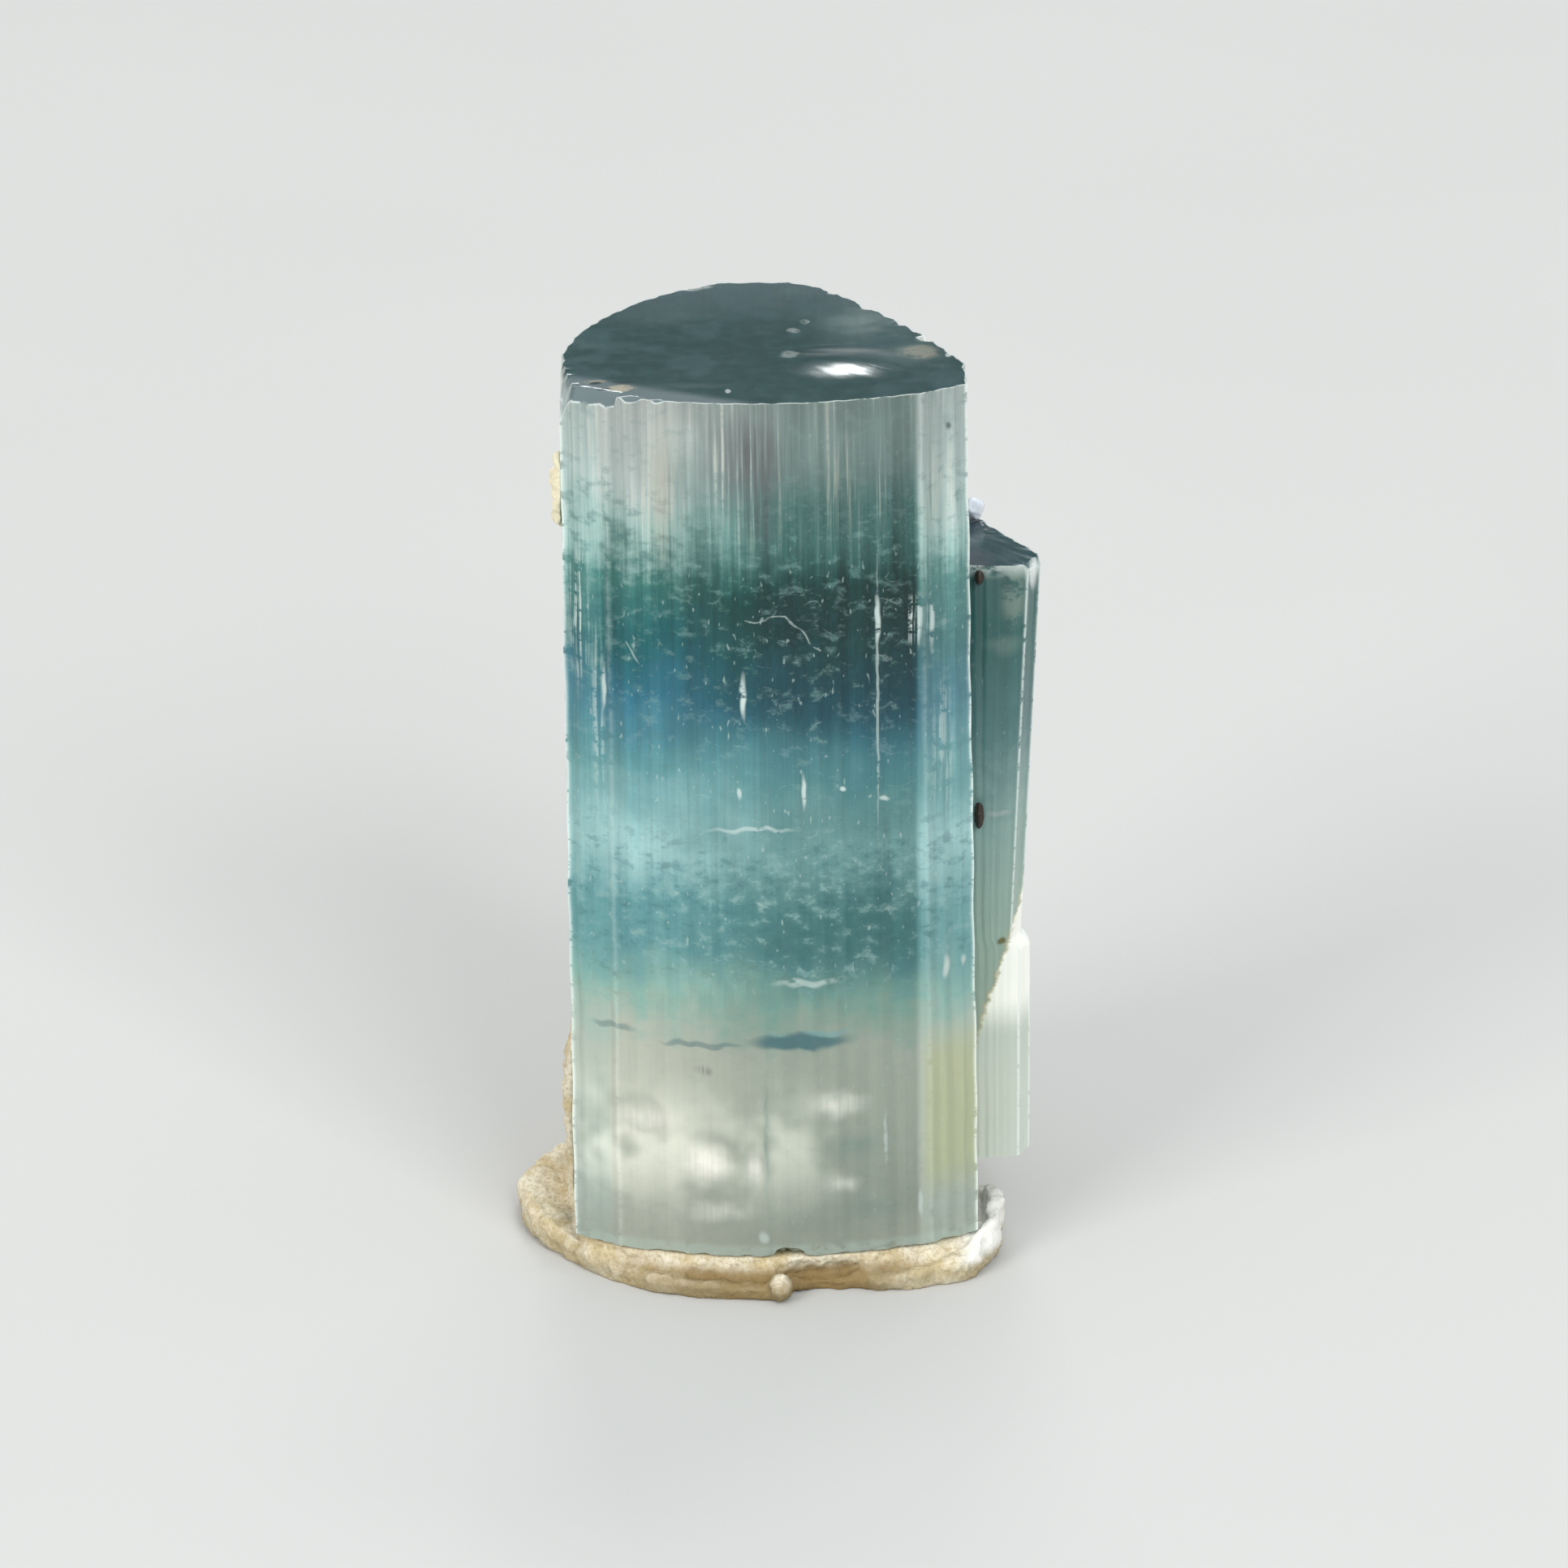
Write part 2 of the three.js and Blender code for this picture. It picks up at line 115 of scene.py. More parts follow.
def smooth(value, low, high):
    """0 up to low and 1 from high on, smoothly between."""
    share = np.clip((np.asarray(value, float) - low) / (high - low), 0, 1)
    return share * share * (3 - 2 * share)


def place_main(xy, z):
    """Points of the main crystal's section at height z. It widens and leans to +X towards its foot."""
    down = (MAIN_TOP - z) / (MAIN_TOP - MAIN_BASE)
    angle = np.arctan2(xy[..., 1], xy[..., 0])
    waver = 0.0025 * np.sin(2.1 * z + 9 * angle) + 0.002 * np.sin(0.7 * z - 4 * angle)
    scale = 1 + MAIN_TAPER * down + waver * np.minimum(down * 8, 1)
    return np.stack([xy[..., 0] * scale + MAIN_LEAN * down, xy[..., 1] * scale], -1)


def place_side(xy, z):
    """Points of the side crystal's section at height z. Its outer side steps out below its waist."""
    above = SIDE_REACH - SIDE_LEAN * (SIDE_TOP - z)
    reach = SIDE_FOOT_REACH + (above - SIDE_FOOT_REACH) * smooth(z, SIDE_WAIST - WAIST_STEP, SIDE_WAIST)
    share = np.maximum(xy[..., 0] - SIDE_CONTACT, 0) / (SIDE_REACH - SIDE_CONTACT)
    x = xy[..., 0] - (SIDE_REACH - reach) * share
    return np.stack([x, xy[..., 1] + 0.01 * np.sin(1.3 * z + 2 * xy[..., 1])], -1)


def stand_off(faces, xy):
    """How far points stand outside a prism's faces, with their bulge. It is negative inside."""
    starts = corners(faces)
    worst = np.full(xy.shape[:-1], -np.inf)
    for i, face in enumerate(faces):
        start, end = starts[i], starts[(i + 1) % len(faces)]
        run = end - start
        along = np.clip(((xy - start) @ run) / (run @ run), 0, 1)
        bulge = face.bulge * (1 - (2 * along - 1) ** 2)
        worst = np.maximum(worst, xy @ unit(face.facing) - face.distance - bulge)
    return worst


def off_main(points):
    """How far points stand outside the main crystal. It is negative inside."""
    down = (MAIN_TOP - points[:, 2]) / (MAIN_TOP - MAIN_BASE)
    scale = 1 + MAIN_TAPER * down
    xy = np.stack([(points[:, 0] - MAIN_LEAN * down) / scale, points[:, 1] / scale], -1)
    return np.maximum(stand_off(MAIN_FACES, xy) * scale, MAIN_BASE - points[:, 2])


def off_side(points):
    reach = SIDE_REACH - SIDE_LEAN * (SIDE_TOP - points[:, 2])
    reach = np.where(points[:, 2] > SIDE_WAIST, reach, SIDE_FOOT_REACH)
    stretch = (SIDE_REACH - SIDE_CONTACT) / (reach - SIDE_CONTACT)
    x = points[:, 0]
    x = np.where(x > SIDE_CONTACT, SIDE_CONTACT + (x - SIDE_CONTACT) * stretch, x)
    flat = stand_off(SIDE_FACES, np.stack([x, points[:, 1]], -1))
    return np.maximum(flat, SIDE_BASE - points[:, 2])


# ---- Meshes ----

def add_mesh(name, points, polygons, material, attributes=None, sharp=None):
    """A mesh from millimetre points. Sharp is the angle in degrees above which an edge stays crisp."""
    mesh = bpy.data.meshes.new(name)
    mesh.from_pydata((np.asarray(points) * MM).tolist(), [], [list(p) for p in polygons])
    mesh.validate()
    for label, values in (attributes or {}).items():
        layer = mesh.attributes.new(label, "FLOAT", "POINT")
        layer.data.foreach_set("value", np.asarray(values, np.float32))
    mesh.polygons.foreach_set("use_smooth", [sharp is not None] * len(mesh.polygons))
    if sharp is not None:
        mesh.set_sharp_from_angle(angle=math.radians(sharp))
    mesh.materials.append(material)
    piece = bpy.data.objects.new(name, mesh)
    bpy.context.scene.collection.objects.link(piece)
    return piece


def grid_quads(rings, columns):
    """The quads between closed rings of points, each ring after the one it joins."""
    ring, column = np.meshgrid(np.arange(rings - 1), np.arange(columns), indexing="ij")
    after = (column + 1) % columns
    quads = np.stack([
        ring * columns + column,
        ring * columns + after,
        (ring + 1) * columns + after,
        (ring + 1) * columns + column,
    ], -1)
    return quads.reshape(-1, 4).tolist()


# ---- Striated prisms ----

COLUMN_PITCH = 0.062  # between mesh columns around a crystal
FINE_PITCH = 0.17  # between the fine striations that lie over the large ones
FINE_DEPTH = 0.013
FOOT_GROOVING = 0.3  # of the fine striations' depth in the foot, rising to all of it in the crown


def coarse_grooves(index, face):
    """Where the large grooves of a face lie along it, and how deep each is, as in the solid."""
    steps = face.striae * 2
    k = np.arange(steps + 1)
    seed = index * 40 + k
    jitter = np.where((k == 0) | (k == steps), 0, (scatter(seed) - 0.5) * 0.7)
    depth = np.where((k % 2 == 1), STRIA_DEPTH * (0.3 + 0.7 * scatter(seed + 500)), 0)
    return (k + jitter) / steps, depth


def fine_grooves(index, length):
    count = max(int(length / FINE_PITCH), 2) * 2
    k = np.arange(count + 1)
    seed = index * 977 + k * 3 + 11
    jitter = np.where((k == 0) | (k == count), 0, (scatter(seed) - 0.5) * 0.8)
    depth = np.where(k % 2 == 1, FINE_DEPTH * (0.2 + 1.6 * scatter(seed + 7000) ** 2), 0)
    return (k + jitter) / count, depth


class Section:
    """The outline of a prism in columns: the point on each face, the way it faces, and its grooves."""

    def __init__(self, faces):
        starts = corners(faces)
        self.faces = faces
        self.lengths = []
        self.face_of, self.along, self.base, self.out, self.edge = [], [], [], [], []
        for i, face in enumerate(faces):
            start, end = starts[i], starts[(i + 1) % len(faces)]
            length = np.linalg.norm(end - start)
            self.lengths.append(length)
            count = max(int(round(length / COLUMN_PITCH)), 2)
            along = np.arange(count) / count
            bulge = face.bulge * (1 - (2 * along - 1) ** 2)
            self.base.append(start + (end - start) * along[:, None] + unit(face.facing) * bulge[:, None])
            self.out.append(np.tile(unit(face.facing), (count, 1)))
            self.along.append(along)
            self.face_of.append(np.full(count, i))
            self.edge.append(np.minimum(along, 1 - along) * length)
        self.base, self.out = np.concatenate(self.base), np.concatenate(self.out)
        self.along, self.face_of = np.concatenate(self.along), np.concatenate(self.face_of)
        self.edge = np.concatenate(self.edge)
        self.corner = (self.face_of + (self.along > 0.5)) % len(faces)

    def depth(self, z, strength=1.0):
        """How deep the grooves are in each column at one height. They fade in and out up the crystal."""
        total = np.zeros(len(self.along))
        fine_share = FOOT_GROOVING + (1 - FOOT_GROOVING) * smooth(z, 10, 27)
        for i, face in enumerate(self.faces):
            mine = self.face_of == i
            layers = [coarse_grooves(i, face), fine_grooves(i, self.lengths[i])]
            for layer, (spots, deep) in enumerate(layers):
                seed = np.arange(len(spots)) + 100 * i + 3000 * layer
                wave = np.sin(z * (0.25 + 0.5 * scatter(seed)) + 6.3 * scatter(seed + 50))
                fade = 0.8 + 0.2 * wave if layer == 0 else (0.6 + 0.4 * wave) * fine_share
                total[mine] += np.interp(self.along[mine], spots, deep * fade)
        return total * strength


def scoop(x, y, top, chips, lift):
    """Lowers a surface at height top where chips were struck from it, each an oval dip."""
    for cx, cy, half in chips:
        inside = 1 - ((x - cx) / (half * 1.4)) ** 2 - ((y - cy) / half) ** 2
        dip = lift - half * 0.7 * np.sqrt(np.maximum(inside, 0))
        top = np.where(inside > 0, np.minimum(top, top + np.minimum(dip, 0)), top)
    return top


def bevel(x, y, height, point, outward, reach):
    """The height of a shaved plane, fading out to either side of point over its reach."""
    px, py = point
    nx, ny, nz = outward
    plane = height - (nx * (x - px) + ny * (y - py)) / nz
    across = np.abs(-(x - px) * ny + (y - py) * nx) / math.hypot(nx, ny)
    return plane + smooth(across, reach * 0.7, reach) * 5


OCTAVES = 3


def fractal(points, size):
    """Smooth noise around zero at each point, with its largest lumps about size across."""
    return np.array([noise.fractal(Vector(p) / size, 1.0, 2.0, OCTAVES) for p in points])


# ---- The main crystal ----

END_CHIPS = [
    (-4.5, -5.5, 0.32),
    (-3.6, -5.75, 0.24),
    (5.6, 0.5, 0.3),
    (4.75, 2.2, 0.26),
    (3.75, 4.05, 0.42),
    (2.5, 5.6, 0.26),
    (-2.6, 6.5, 0.36),
    (-5.2, 4.0, 0.3),
]
BASE_CHIPS = [(0.6, -6.4, 0.45), (-3.4, -6.1, 0.2), (4.6, -5.8, 0.2)]
SIDE_CHIPS = [(8.3, 1.6, 0.2), (6.4, 4.8, 0.32)]
GRAIN_FOOT = (7.15, 2.5)  # where the white grain sits
GRAIN_SEAT = 0.04  # how far the side crystal's end rises to it
HILLOCK = (2.7, -1.9)  # a low growth hill on the end face
HILLOCK_HALF = (2.5, 1.9)
HILLOCK_HEIGHT = 0.16
CAP_RING_COUNT = 21  # rings of points across the end face, closer together towards its rim
CAP_RINGS = [1 - 0.94 * (n / CAP_RING_COUNT) ** 1.9 for n in range(1, CAP_RING_COUNT + 1)]
BASE_RINGS = [0.99, 0.95, 0.88, 0.75, 0.5, 0.2]
EDGE_WIDTH = 0.08  # of the pale band along a corner, partly wear and partly painted highlight
# How pale each corner of the main crystal is, from wear and from a painted highlight along it, from the
# start of its first face round.
CORNER_PALENESS = np.array([0.2, 0.15, 1, 0.7, 0.8, 0.6, 0.6, 0.7, 0.6, 0.9])
WALL_ROWS = 58
RIM_ROWS = [0.9965, 0.999]  # more rows close under the rim, as shares of the height


def end_height(x, y):
    """The end face of the main crystal: nearly flat, with a worn left rim, chips and a growth hill."""
    points = np.stack([x, y, np.full_like(x, 3.0)], -1)
    relief = 0.03 * fractal(points, 3.0) + 0.014 * fractal(points, 0.7)
    away = np.hypot((x - HILLOCK[0]) / HILLOCK_HALF[0], (y - HILLOCK[1]) / HILLOCK_HALF[1])
    top = MAIN_TOP - 0.03 + relief * 0.6 + HILLOCK_HEIGHT * (1 - smooth(away, 0, 1))
    top = np.minimum(top, bevel(x, y, MAIN_TOP, (-6.5, -2.9), (-0.9, -0.15, 0.42), 2.2))
    top = np.minimum(top, bevel(x, y, MAIN_TOP, (-5.6, -4.35), (-0.3, -0.55, 0.8), 1.4))
    return scoop(x, y, top, END_CHIPS, 0.06)


def prism_mesh(name, walls, top_of, base_of, top_rings, base_rings, levels, material, attributes):
    """A closed prism. walls(z) gives the columns' places; top_of and base_of its end faces' heights."""
    high, low = walls(levels[-1]), walls(levels[0])
    high_z, low_z = top_of(high[:, 0], high[:, 1]), base_of(low[:, 0], low[:, 1])
    columns = len(high)
    share = (np.asarray(levels) - levels[0]) / (levels[-1] - levels[0])
    rows = []
    for level, part in zip(levels, share):
        xy = walls(level)
        z = low_z + (high_z - low_z) * part
        rows.append(np.column_stack([xy, z]))
    middle_high, middle_low = high.mean(0), low.mean(0)
    for ring in top_rings:
        xy = middle_high + (high - middle_high) * ring
        rows.append(np.column_stack([xy, top_of(xy[:, 0], xy[:, 1])]))
    for ring in base_rings:
        xy = middle_low + (low - middle_low) * ring
        rows.insert(0, np.column_stack([xy, base_of(xy[:, 0], xy[:, 1])]))
    points = np.concatenate(rows)
    count = len(rows)
    polygons = grid_quads(count, columns)
    crown, foot = len(points), len(points) + 1
    points = np.vstack([
        points,
        [*middle_high, top_of(middle_high[:1], middle_high[1:])[0]],
        [*middle_low, base_of(middle_low[:1], middle_low[1:])[0]],
    ])
    last = (count - 1) * columns
    for i in range(columns):
        after = (i + 1) % columns
        polygons.append([last + i, last + after, crown])
        polygons.append([after, i, foot])
    base_count = len(base_rings)
    labels = {}
    for label, values in attributes(points, base_count, len(levels), columns).items():
        labels[label] = np.append(values, np.zeros(len(points) - len(values)))
    return add_mesh(name, points, polygons, material, labels, sharp=38)


def edge_wear_and_highlight(points, edge, worn, base_rows, wall_rows, columns):
    """How close each point is to a pale edge of its crystal, partly wear and partly painted highlight: up to
    1 on the edge and 0 away from it.
    """
    values = np.zeros(len(points))
    corner = np.exp(-((edge / EDGE_WIDTH) ** 2)) * worn
    for row in range(wall_rows):
        start = (base_rows + row) * columns
        values[start:start + columns] = corner
    # The end face's rim is pale all round: wear and a painted highlight along the rim.
    rim = (base_rows + wall_rows) * columns
    values[rim - columns:rim] = np.maximum(values[rim - columns:rim], 0.8)
    values[rim:rim + columns] = 0.8
    return {"edge": values}


def main_crystal(material):
    section = Section(MAIN_FACES)
    share = np.sort(np.concatenate([np.linspace(0, 1, WALL_ROWS), RIM_ROWS]))
    levels = MAIN_BASE + (MAIN_TOP - MAIN_BASE) * share

    def walls(z):
        return place_main(section.base - section.out * section.depth(z)[:, None], z)

    def base_height(x, y):
        points = np.stack([x, y, np.full_like(x, 9.0)], -1)
        rough = 0.12 * np.abs(fractal(points, 1.3))
        return MAIN_BASE + rough - scoop(x, y, np.zeros_like(x), BASE_CHIPS, 0)

    def labels(points, base_rows, wall_rows, columns):
        return edge_wear_and_highlight(points, section.edge, CORNER_PALENESS[section.corner], base_rows, wall_rows, columns)

    return prism_mesh("main_crystal_surface", walls, end_height, base_height, CAP_RINGS, BASE_RINGS,
                      levels, material, labels)


# ---- The side crystal ----

SIDE_FRONT_GROOVES = 0.2  # the share of the grooves' full depth on the side crystal's front
SIDE_GROOVES = 0.6  # the share on its other faces
SIDE_WALL_ROWS = 46


def contact_reach(y_along, z):
    """The main crystal's surface under the side crystal, as points from shares along that face."""
    starts = corners(MAIN_FACES)
    start, end = starts[3], starts[4]
    bulge = CONTACT_FACE.bulge * (1 - (2 * y_along - 1) ** 2) + CONTACT_GAP * 0.7
    base = start + (end - start) * y_along[:, None] + unit(CONTACT_FACE.facing) * bulge[:, None]
    return place_main(base, z)


def seam_share(line_point, line_direction, z):
    """The share along the contact face where a straight wall of the side crystal meets it."""
    shares = np.linspace(-0.3, 1.3, 400)
    surface = contact_reach(shares, z)
    normal = np.array([-line_direction[1], line_direction[0]])
    side = (surface - line_point) @ normal
    i = np.argmax(side[:-1] * side[1:] <= 0)
    return shares[i] + (shares[i + 1] - shares[i]) * side[i] / (side[i] - side[i + 1])


def side_crystal(material):
    full = Section(SIDE_FACES)
    contact = len(SIDE_FACES) - 1
    starts = corners(SIDE_FACES)
    outer = full.face_of != contact
    grooves = np.where(full.face_of == 0, SIDE_FRONT_GROOVES, SIDE_GROOVES)
    count = int((~outer).sum())
    edge = np.concatenate([full.edge[outer], np.full(count, 9.0)])

    def walls(z):
        placed = place_side(full.base - full.out * full.depth(z, grooves)[:, None], z)
        front = place_side(np.array([starts[0], starts[1]]), z)
        back = place_side(np.array([starts[contact - 1], starts[contact]]), z)
        low = seam_share(front[0], unit(0), z)
        high = seam_share(back[1], unit(SIDE_FACES[contact - 1].facing + 90), z)
        seam = contact_reach(np.linspace(high, low, count + 2)[1:-1], z)
        first, last = contact_reach(np.array([low]), z)[0], contact_reach(np.array([high]), z)[0]
        chain = placed[outer].copy()
        mine = full.face_of[outer]
        for face, target, old in ((0, first, front[0]), (contact - 1, last, back[1])):
            rows = mine == face
            along = full.along[outer][rows]
            pull = (1 - along) if face == 0 else along
            chain[rows] += (target - old) * pull[:, None]
        return np.concatenate([chain, seam])

    def top_height(x, y):
        points = np.stack([x, y, np.full_like(x, 5.0)], -1)
        top = SIDE_TOP - 0.02 + 0.04 * fractal(points, 1.4) + 0.01 * fractal(points, 0.35)
        top = top + GRAIN_SEAT * (1 - smooth(np.hypot(x - GRAIN_FOOT[0], y - GRAIN_FOOT[1]), 0.3, 0.7))
        top = np.minimum(top, bevel(x, y, SIDE_TOP, (9.0, -1.3), (0.8, -0.4, 0.45), 1.1))
        return scoop(x, y, top, SIDE_CHIPS, 0.05)

    def base_height(x, y):
        points = np.stack([x, y, np.full_like(x, 7.0)], -1)
        return SIDE_BASE + 0.04 + 0.05 * fractal(points, 0.8)

    def labels(points, base_rows, wall_rows, columns):
        return edge_wear_and_highlight(points, edge, 1, base_rows, wall_rows, columns)

    waist = [SIDE_WAIST - WAIST_STEP * 1.1, SIDE_WAIST - WAIST_STEP * 0.5, SIDE_WAIST + 0.05]
    levels = np.sort(np.concatenate([np.linspace(SIDE_BASE, SIDE_TOP, SIDE_WALL_ROWS), waist]))
    rings = [1 - 0.01 * n * n for n in range(1, 10)]
    return prism_mesh("side_crystal_surface", walls, top_height, base_height, rings, rings[1::3], levels,
                      material, labels)


# ---- Crust and grains ----

CRUST_VOXEL = 0.11  # the mesh spacing of each rough piece
UPPER_VOXEL = 0.07
WHITE_VOXEL = 0.04
DARK_VOXEL = 0.03
# The lumps of each, from large to small: their size and height.
CRUST_LUMPS = [(1.6, 0.12), (0.45, 0.1), (0.2, 0.05)]
UPPER_LUMPS = [(1.1, 0.24), (0.45, 0.14), (0.2, 0.05)]
WHITE_LUMPS = [(0.3, 0.05)]
DARK_LUMPS = [(0.15, 0.02)]


def fine_copy(node, voxel, relax):
    """A finer, softer copy of a solid's own surface."""
    piece = bpy.data.objects.new(node + "_surface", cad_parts[node].data.copy())
    bpy.context.scene.collection.objects.link(piece)
    remesh = piece.modifiers.new("remesh", "REMESH")
    remesh.mode = "VOXEL"
    remesh.voxel_size = voxel * MM
    soften = piece.modifiers.new("soften", "SMOOTH")
    soften.factor = 0.5
    soften.iterations = relax
    evaluated = piece.evaluated_get(bpy.context.evaluated_depsgraph_get())
    mesh = bpy.data.meshes.new_from_object(evaluated)
    piece.modifiers.clear()
    piece.data = mesh
    return piece


def per_vertex(piece, what):
    flat = np.zeros(len(piece.data.vertices) * 3)
    piece.data.vertices.foreach_get(what, flat)
    return flat.reshape(-1, 3)


def vertices(piece):
    """A piece's points, in millimetres."""
    return per_vertex(piece, "co") / MM


def reshape(piece, points):
    """Moves a piece's points to new places, in millimetres."""
    piece.data.vertices.foreach_set("co", (points * MM).ravel())
    piece.data.update()


def roughen(piece, lumps, keep):
    """Pushes a piece's surface in and out by noise lumps, each a size and a height, scaled by keep."""
    points, facing = vertices(piece), per_vertex(piece, "normal")
    push = sum(height * fractal(points + 40 * size, size) for size, height in lumps)
    reshape(piece, points + facing * (push * keep)[:, None])


def finish_piece(piece, material, label=None, values=None):
    piece.data.materials.clear()
    piece.data.materials.append(material)
    piece.data.polygons.foreach_set("use_smooth", [True] * len(piece.data.polygons))
    if label:
        layer = piece.data.attributes.new(label, "FLOAT", "POINT")
        layer.data.foreach_set("value", np.asarray(values, np.float32))
    return piece


def matrix_crust(material):
    piece = fine_copy("matrix_crust", CRUST_VOXEL, 2)
    points = vertices(piece)
    outside = np.minimum(off_main(points), off_side(points))
    free = smooth(outside, 0.08, 0.3) * smooth(points[:, 2], 0.02, 0.2)
    roughen(piece, CRUST_LUMPS, free)
    points = vertices(piece)
    radius = np.hypot(points[:, 0], points[:, 1])
    points[:, 2] = np.maximum(points[:, 2], 0)
    reshape(piece, points)
    # How deep in the dish inside the rim each point lies, where the crust gets ochre stain and painted
    # shade.
    hollow_stain_and_shade = smooth(1.0 - points[:, 2], -0.1, 0.4) * (1 - smooth(radius, 6.6, 8.2))
    return finish_piece(piece, material, "hollow_stain_and_shade", hollow_stain_and_shade)


def upper_crust(material):
    piece = fine_copy("upper_crust", UPPER_VOXEL, 2)
    free = smooth(off_main(vertices(piece)), 0.06, 0.2)
    roughen(piece, UPPER_LUMPS, free)
    return finish_piece(piece, material, "hollow_stain_and_shade", np.zeros(len(piece.data.vertices)))


def grain(node, material, voxel, lumps):
    piece = fine_copy(node, voxel, 1)
    roughen(piece, lumps, np.ones(len(piece.data.vertices)))
    return finish_piece(piece, material)


# ---- Shader graphs ----

def rgb(code):
    """A linear colour from an sRGB hex code."""
    channels = [int(code[i:i + 2], 16) / 255 for i in (0, 2, 4)]
    linear = [c / 12.92 if c <= 0.04045 else ((c + 0.055) / 1.055) ** 2.4 for c in channels]
    return (*linear, 1)


class Shader:
    """A material's node graph. Its places are in millimetres of the specimen's own frame."""

    def __init__(self, name):
        self.material = bpy.data.materials.new(name)
        self.material.use_nodes = True
        self.tree = self.material.node_tree
        self.surface = self.tree.nodes["Principled BSDF"]
        coordinates = self.tree.nodes.new("ShaderNodeTexCoord")
        self.place = self.vector("SCALE", coordinates.outputs["Object"], scale=1 / MM)
        self.x, self.y, self.z = self.split(self.place)
        self.uneven = self.place
        self.up = self.split(coordinates.outputs["Normal"])[2]

    def put(self, value, socket):
        if isinstance(value, bpy.types.NodeSocket):
            self.tree.links.new(value, socket)
        else:
            socket.default_value = value

    def vector(self, operation, *values, scale=None):
        node = self.tree.nodes.new("ShaderNodeVectorMath")
        node.operation = operation
        for value, socket in zip(values, node.inputs):
            self.put(value, socket)
        if scale is not None:
            self.put(scale, node.inputs["Scale"])
        return node.outputs["Value" if operation in ("LENGTH", "DOT_PRODUCT") else "Vector"]

    def split(self, vector):
        node = self.tree.nodes.new("ShaderNodeSeparateXYZ")
        self.put(vector, node.inputs[0])
        return node.outputs

    def math(self, operation, a, b, c=0.0):
        node = self.tree.nodes.new("ShaderNodeMath")
        node.operation = operation
        for value, socket in zip((a, b, c), node.inputs):
            self.put(value, socket)
        return node.outputs[0]

    def fold(self, operation, values):
        total = values[0]
        for value in values[1:]:
            total = self.math(operation, total, value)
        return total

    def scaled(self, value, gain, offset):
        return self.math("MULTIPLY_ADD", value, gain, offset)

    def product(self, *values):
        return self.fold("MULTIPLY", values)

    def add(self, *values):
        return self.fold("ADD", values)

    def most(self, *values):
        return self.fold("MAXIMUM", values)

    def step(self, value, start, end, peak=1):
        """0 up to start and the peak from end on, smoothly between. Start may be the higher."""
        node = self.tree.nodes.new("ShaderNodeMapRange")
        node.interpolation_type = "SMOOTHSTEP"
        low, high = min(start, end), max(start, end)
        self.put(value, node.inputs["Value"])
        node.inputs["From Min"].default_value = low
        node.inputs["From Max"].default_value = high
        node.inputs["To Min"].default_value = 0 if start < end else peak
        node.inputs["To Max"].default_value = peak if start < end else 0
        return node.outputs["Result"]

    def band(self, value, low, high, soft):
        return self.math("MULTIPLY", self.step(value, low - soft, low + soft),
                         self.step(value, high + soft, high - soft))

    def noise(self, stretch, detail, roughness, shift=0.0):
        """Noise from 0 to 1. Stretch is how many lumps fit in a millimetre each way."""
        node = self.tree.nodes.new("ShaderNodeTexNoise")
        moved = self.vector("MULTIPLY", self.place, stretch)
        self.put(self.vector("ADD", moved, (shift, shift * 0.7, shift * 1.3)), node.inputs["Vector"])
        node.inputs["Scale"].default_value = 1.0
        node.inputs["Detail"].default_value = detail
        node.inputs["Roughness"].default_value = roughness
        return node.outputs["Fac"]

    def spot(self, centre, half, soft, strength=1):
        """The strength inside a blob of uneven outline, and 0 outside it."""
        scale = [1 / h for h in half]
        offset = [-c / h for c, h in zip(centre, half)]
        away = self.vector("LENGTH", self.vector("MULTIPLY_ADD", self.uneven, scale, offset))
        return self.step(away, 1, 1 - soft, strength)

    def front_marks(self, marks, soft=0.7):
        """Oval marks on the front, each x, z, half its width, half its height and its strength."""
        shares = []
        for x, z, wide, high, strength in marks:
            shares.append(self.spot((x, FRONT_Y, z), (wide, FRONT_DEPTH, high), soft, strength))
        return self.most(*shares)

    def off_segment(self, flat, start, end):
        """How far places on the front plane lie from the segment between two x, z points."""
        origin = Vector((start[0], 0, start[1]))
        run = Vector((end[0], 0, end[1])) - origin
        from_start = self.vector("SUBTRACT", flat, origin)
        along = self.vector("DOT_PRODUCT", from_start, run / run.length_squared)
        along = self.math("MINIMUM", self.math("MAXIMUM", along, 0.0), 1.0)
        nearest = self.vector("SCALE", run, scale=along)
        return self.vector("LENGTH", self.vector("SUBTRACT", from_start, nearest))

    def hairlines(self, paths, half):
        """Thin wavering lines on the front, each a list of x, z points."""
        flat = self.vector("MULTIPLY", self.uneven, (1, 0, 1))
        lines = []
        for path in paths:
            for start, end in zip(path, path[1:]):
                away = self.off_segment(flat, start, end)
                lines.append(self.step(away, half, half * 0.3))
        return self.most(*lines)

    def end_marks(self, marks, soft=0.5):
        """Oval marks on the end face, each x, y, half its width, half its depth and its strength."""
        shares = []
        for x, y, wide, deep, strength in marks:
            shares.append(self.spot((x, y, MAIN_TOP), (wide, deep, END_MARK_DEPTH), soft, strength))
        return self.most(*shares)

    def mix(self, share, low, high, blend="MIX"):
        node = self.tree.nodes.new("ShaderNodeMix")
        node.data_type = "RGBA"
        node.blend_type = blend
        self.put(share, node.inputs["Factor"])
        self.put(low, node.inputs[6])
        self.put(high, node.inputs[7])
        return node.outputs[2]

    def tint(self, color, code, *shares, blend="MIX"):
        """The colour, moved to a code's colour by the product of the shares."""
        return self.mix(self.product(*shares), color, rgb(code), blend)

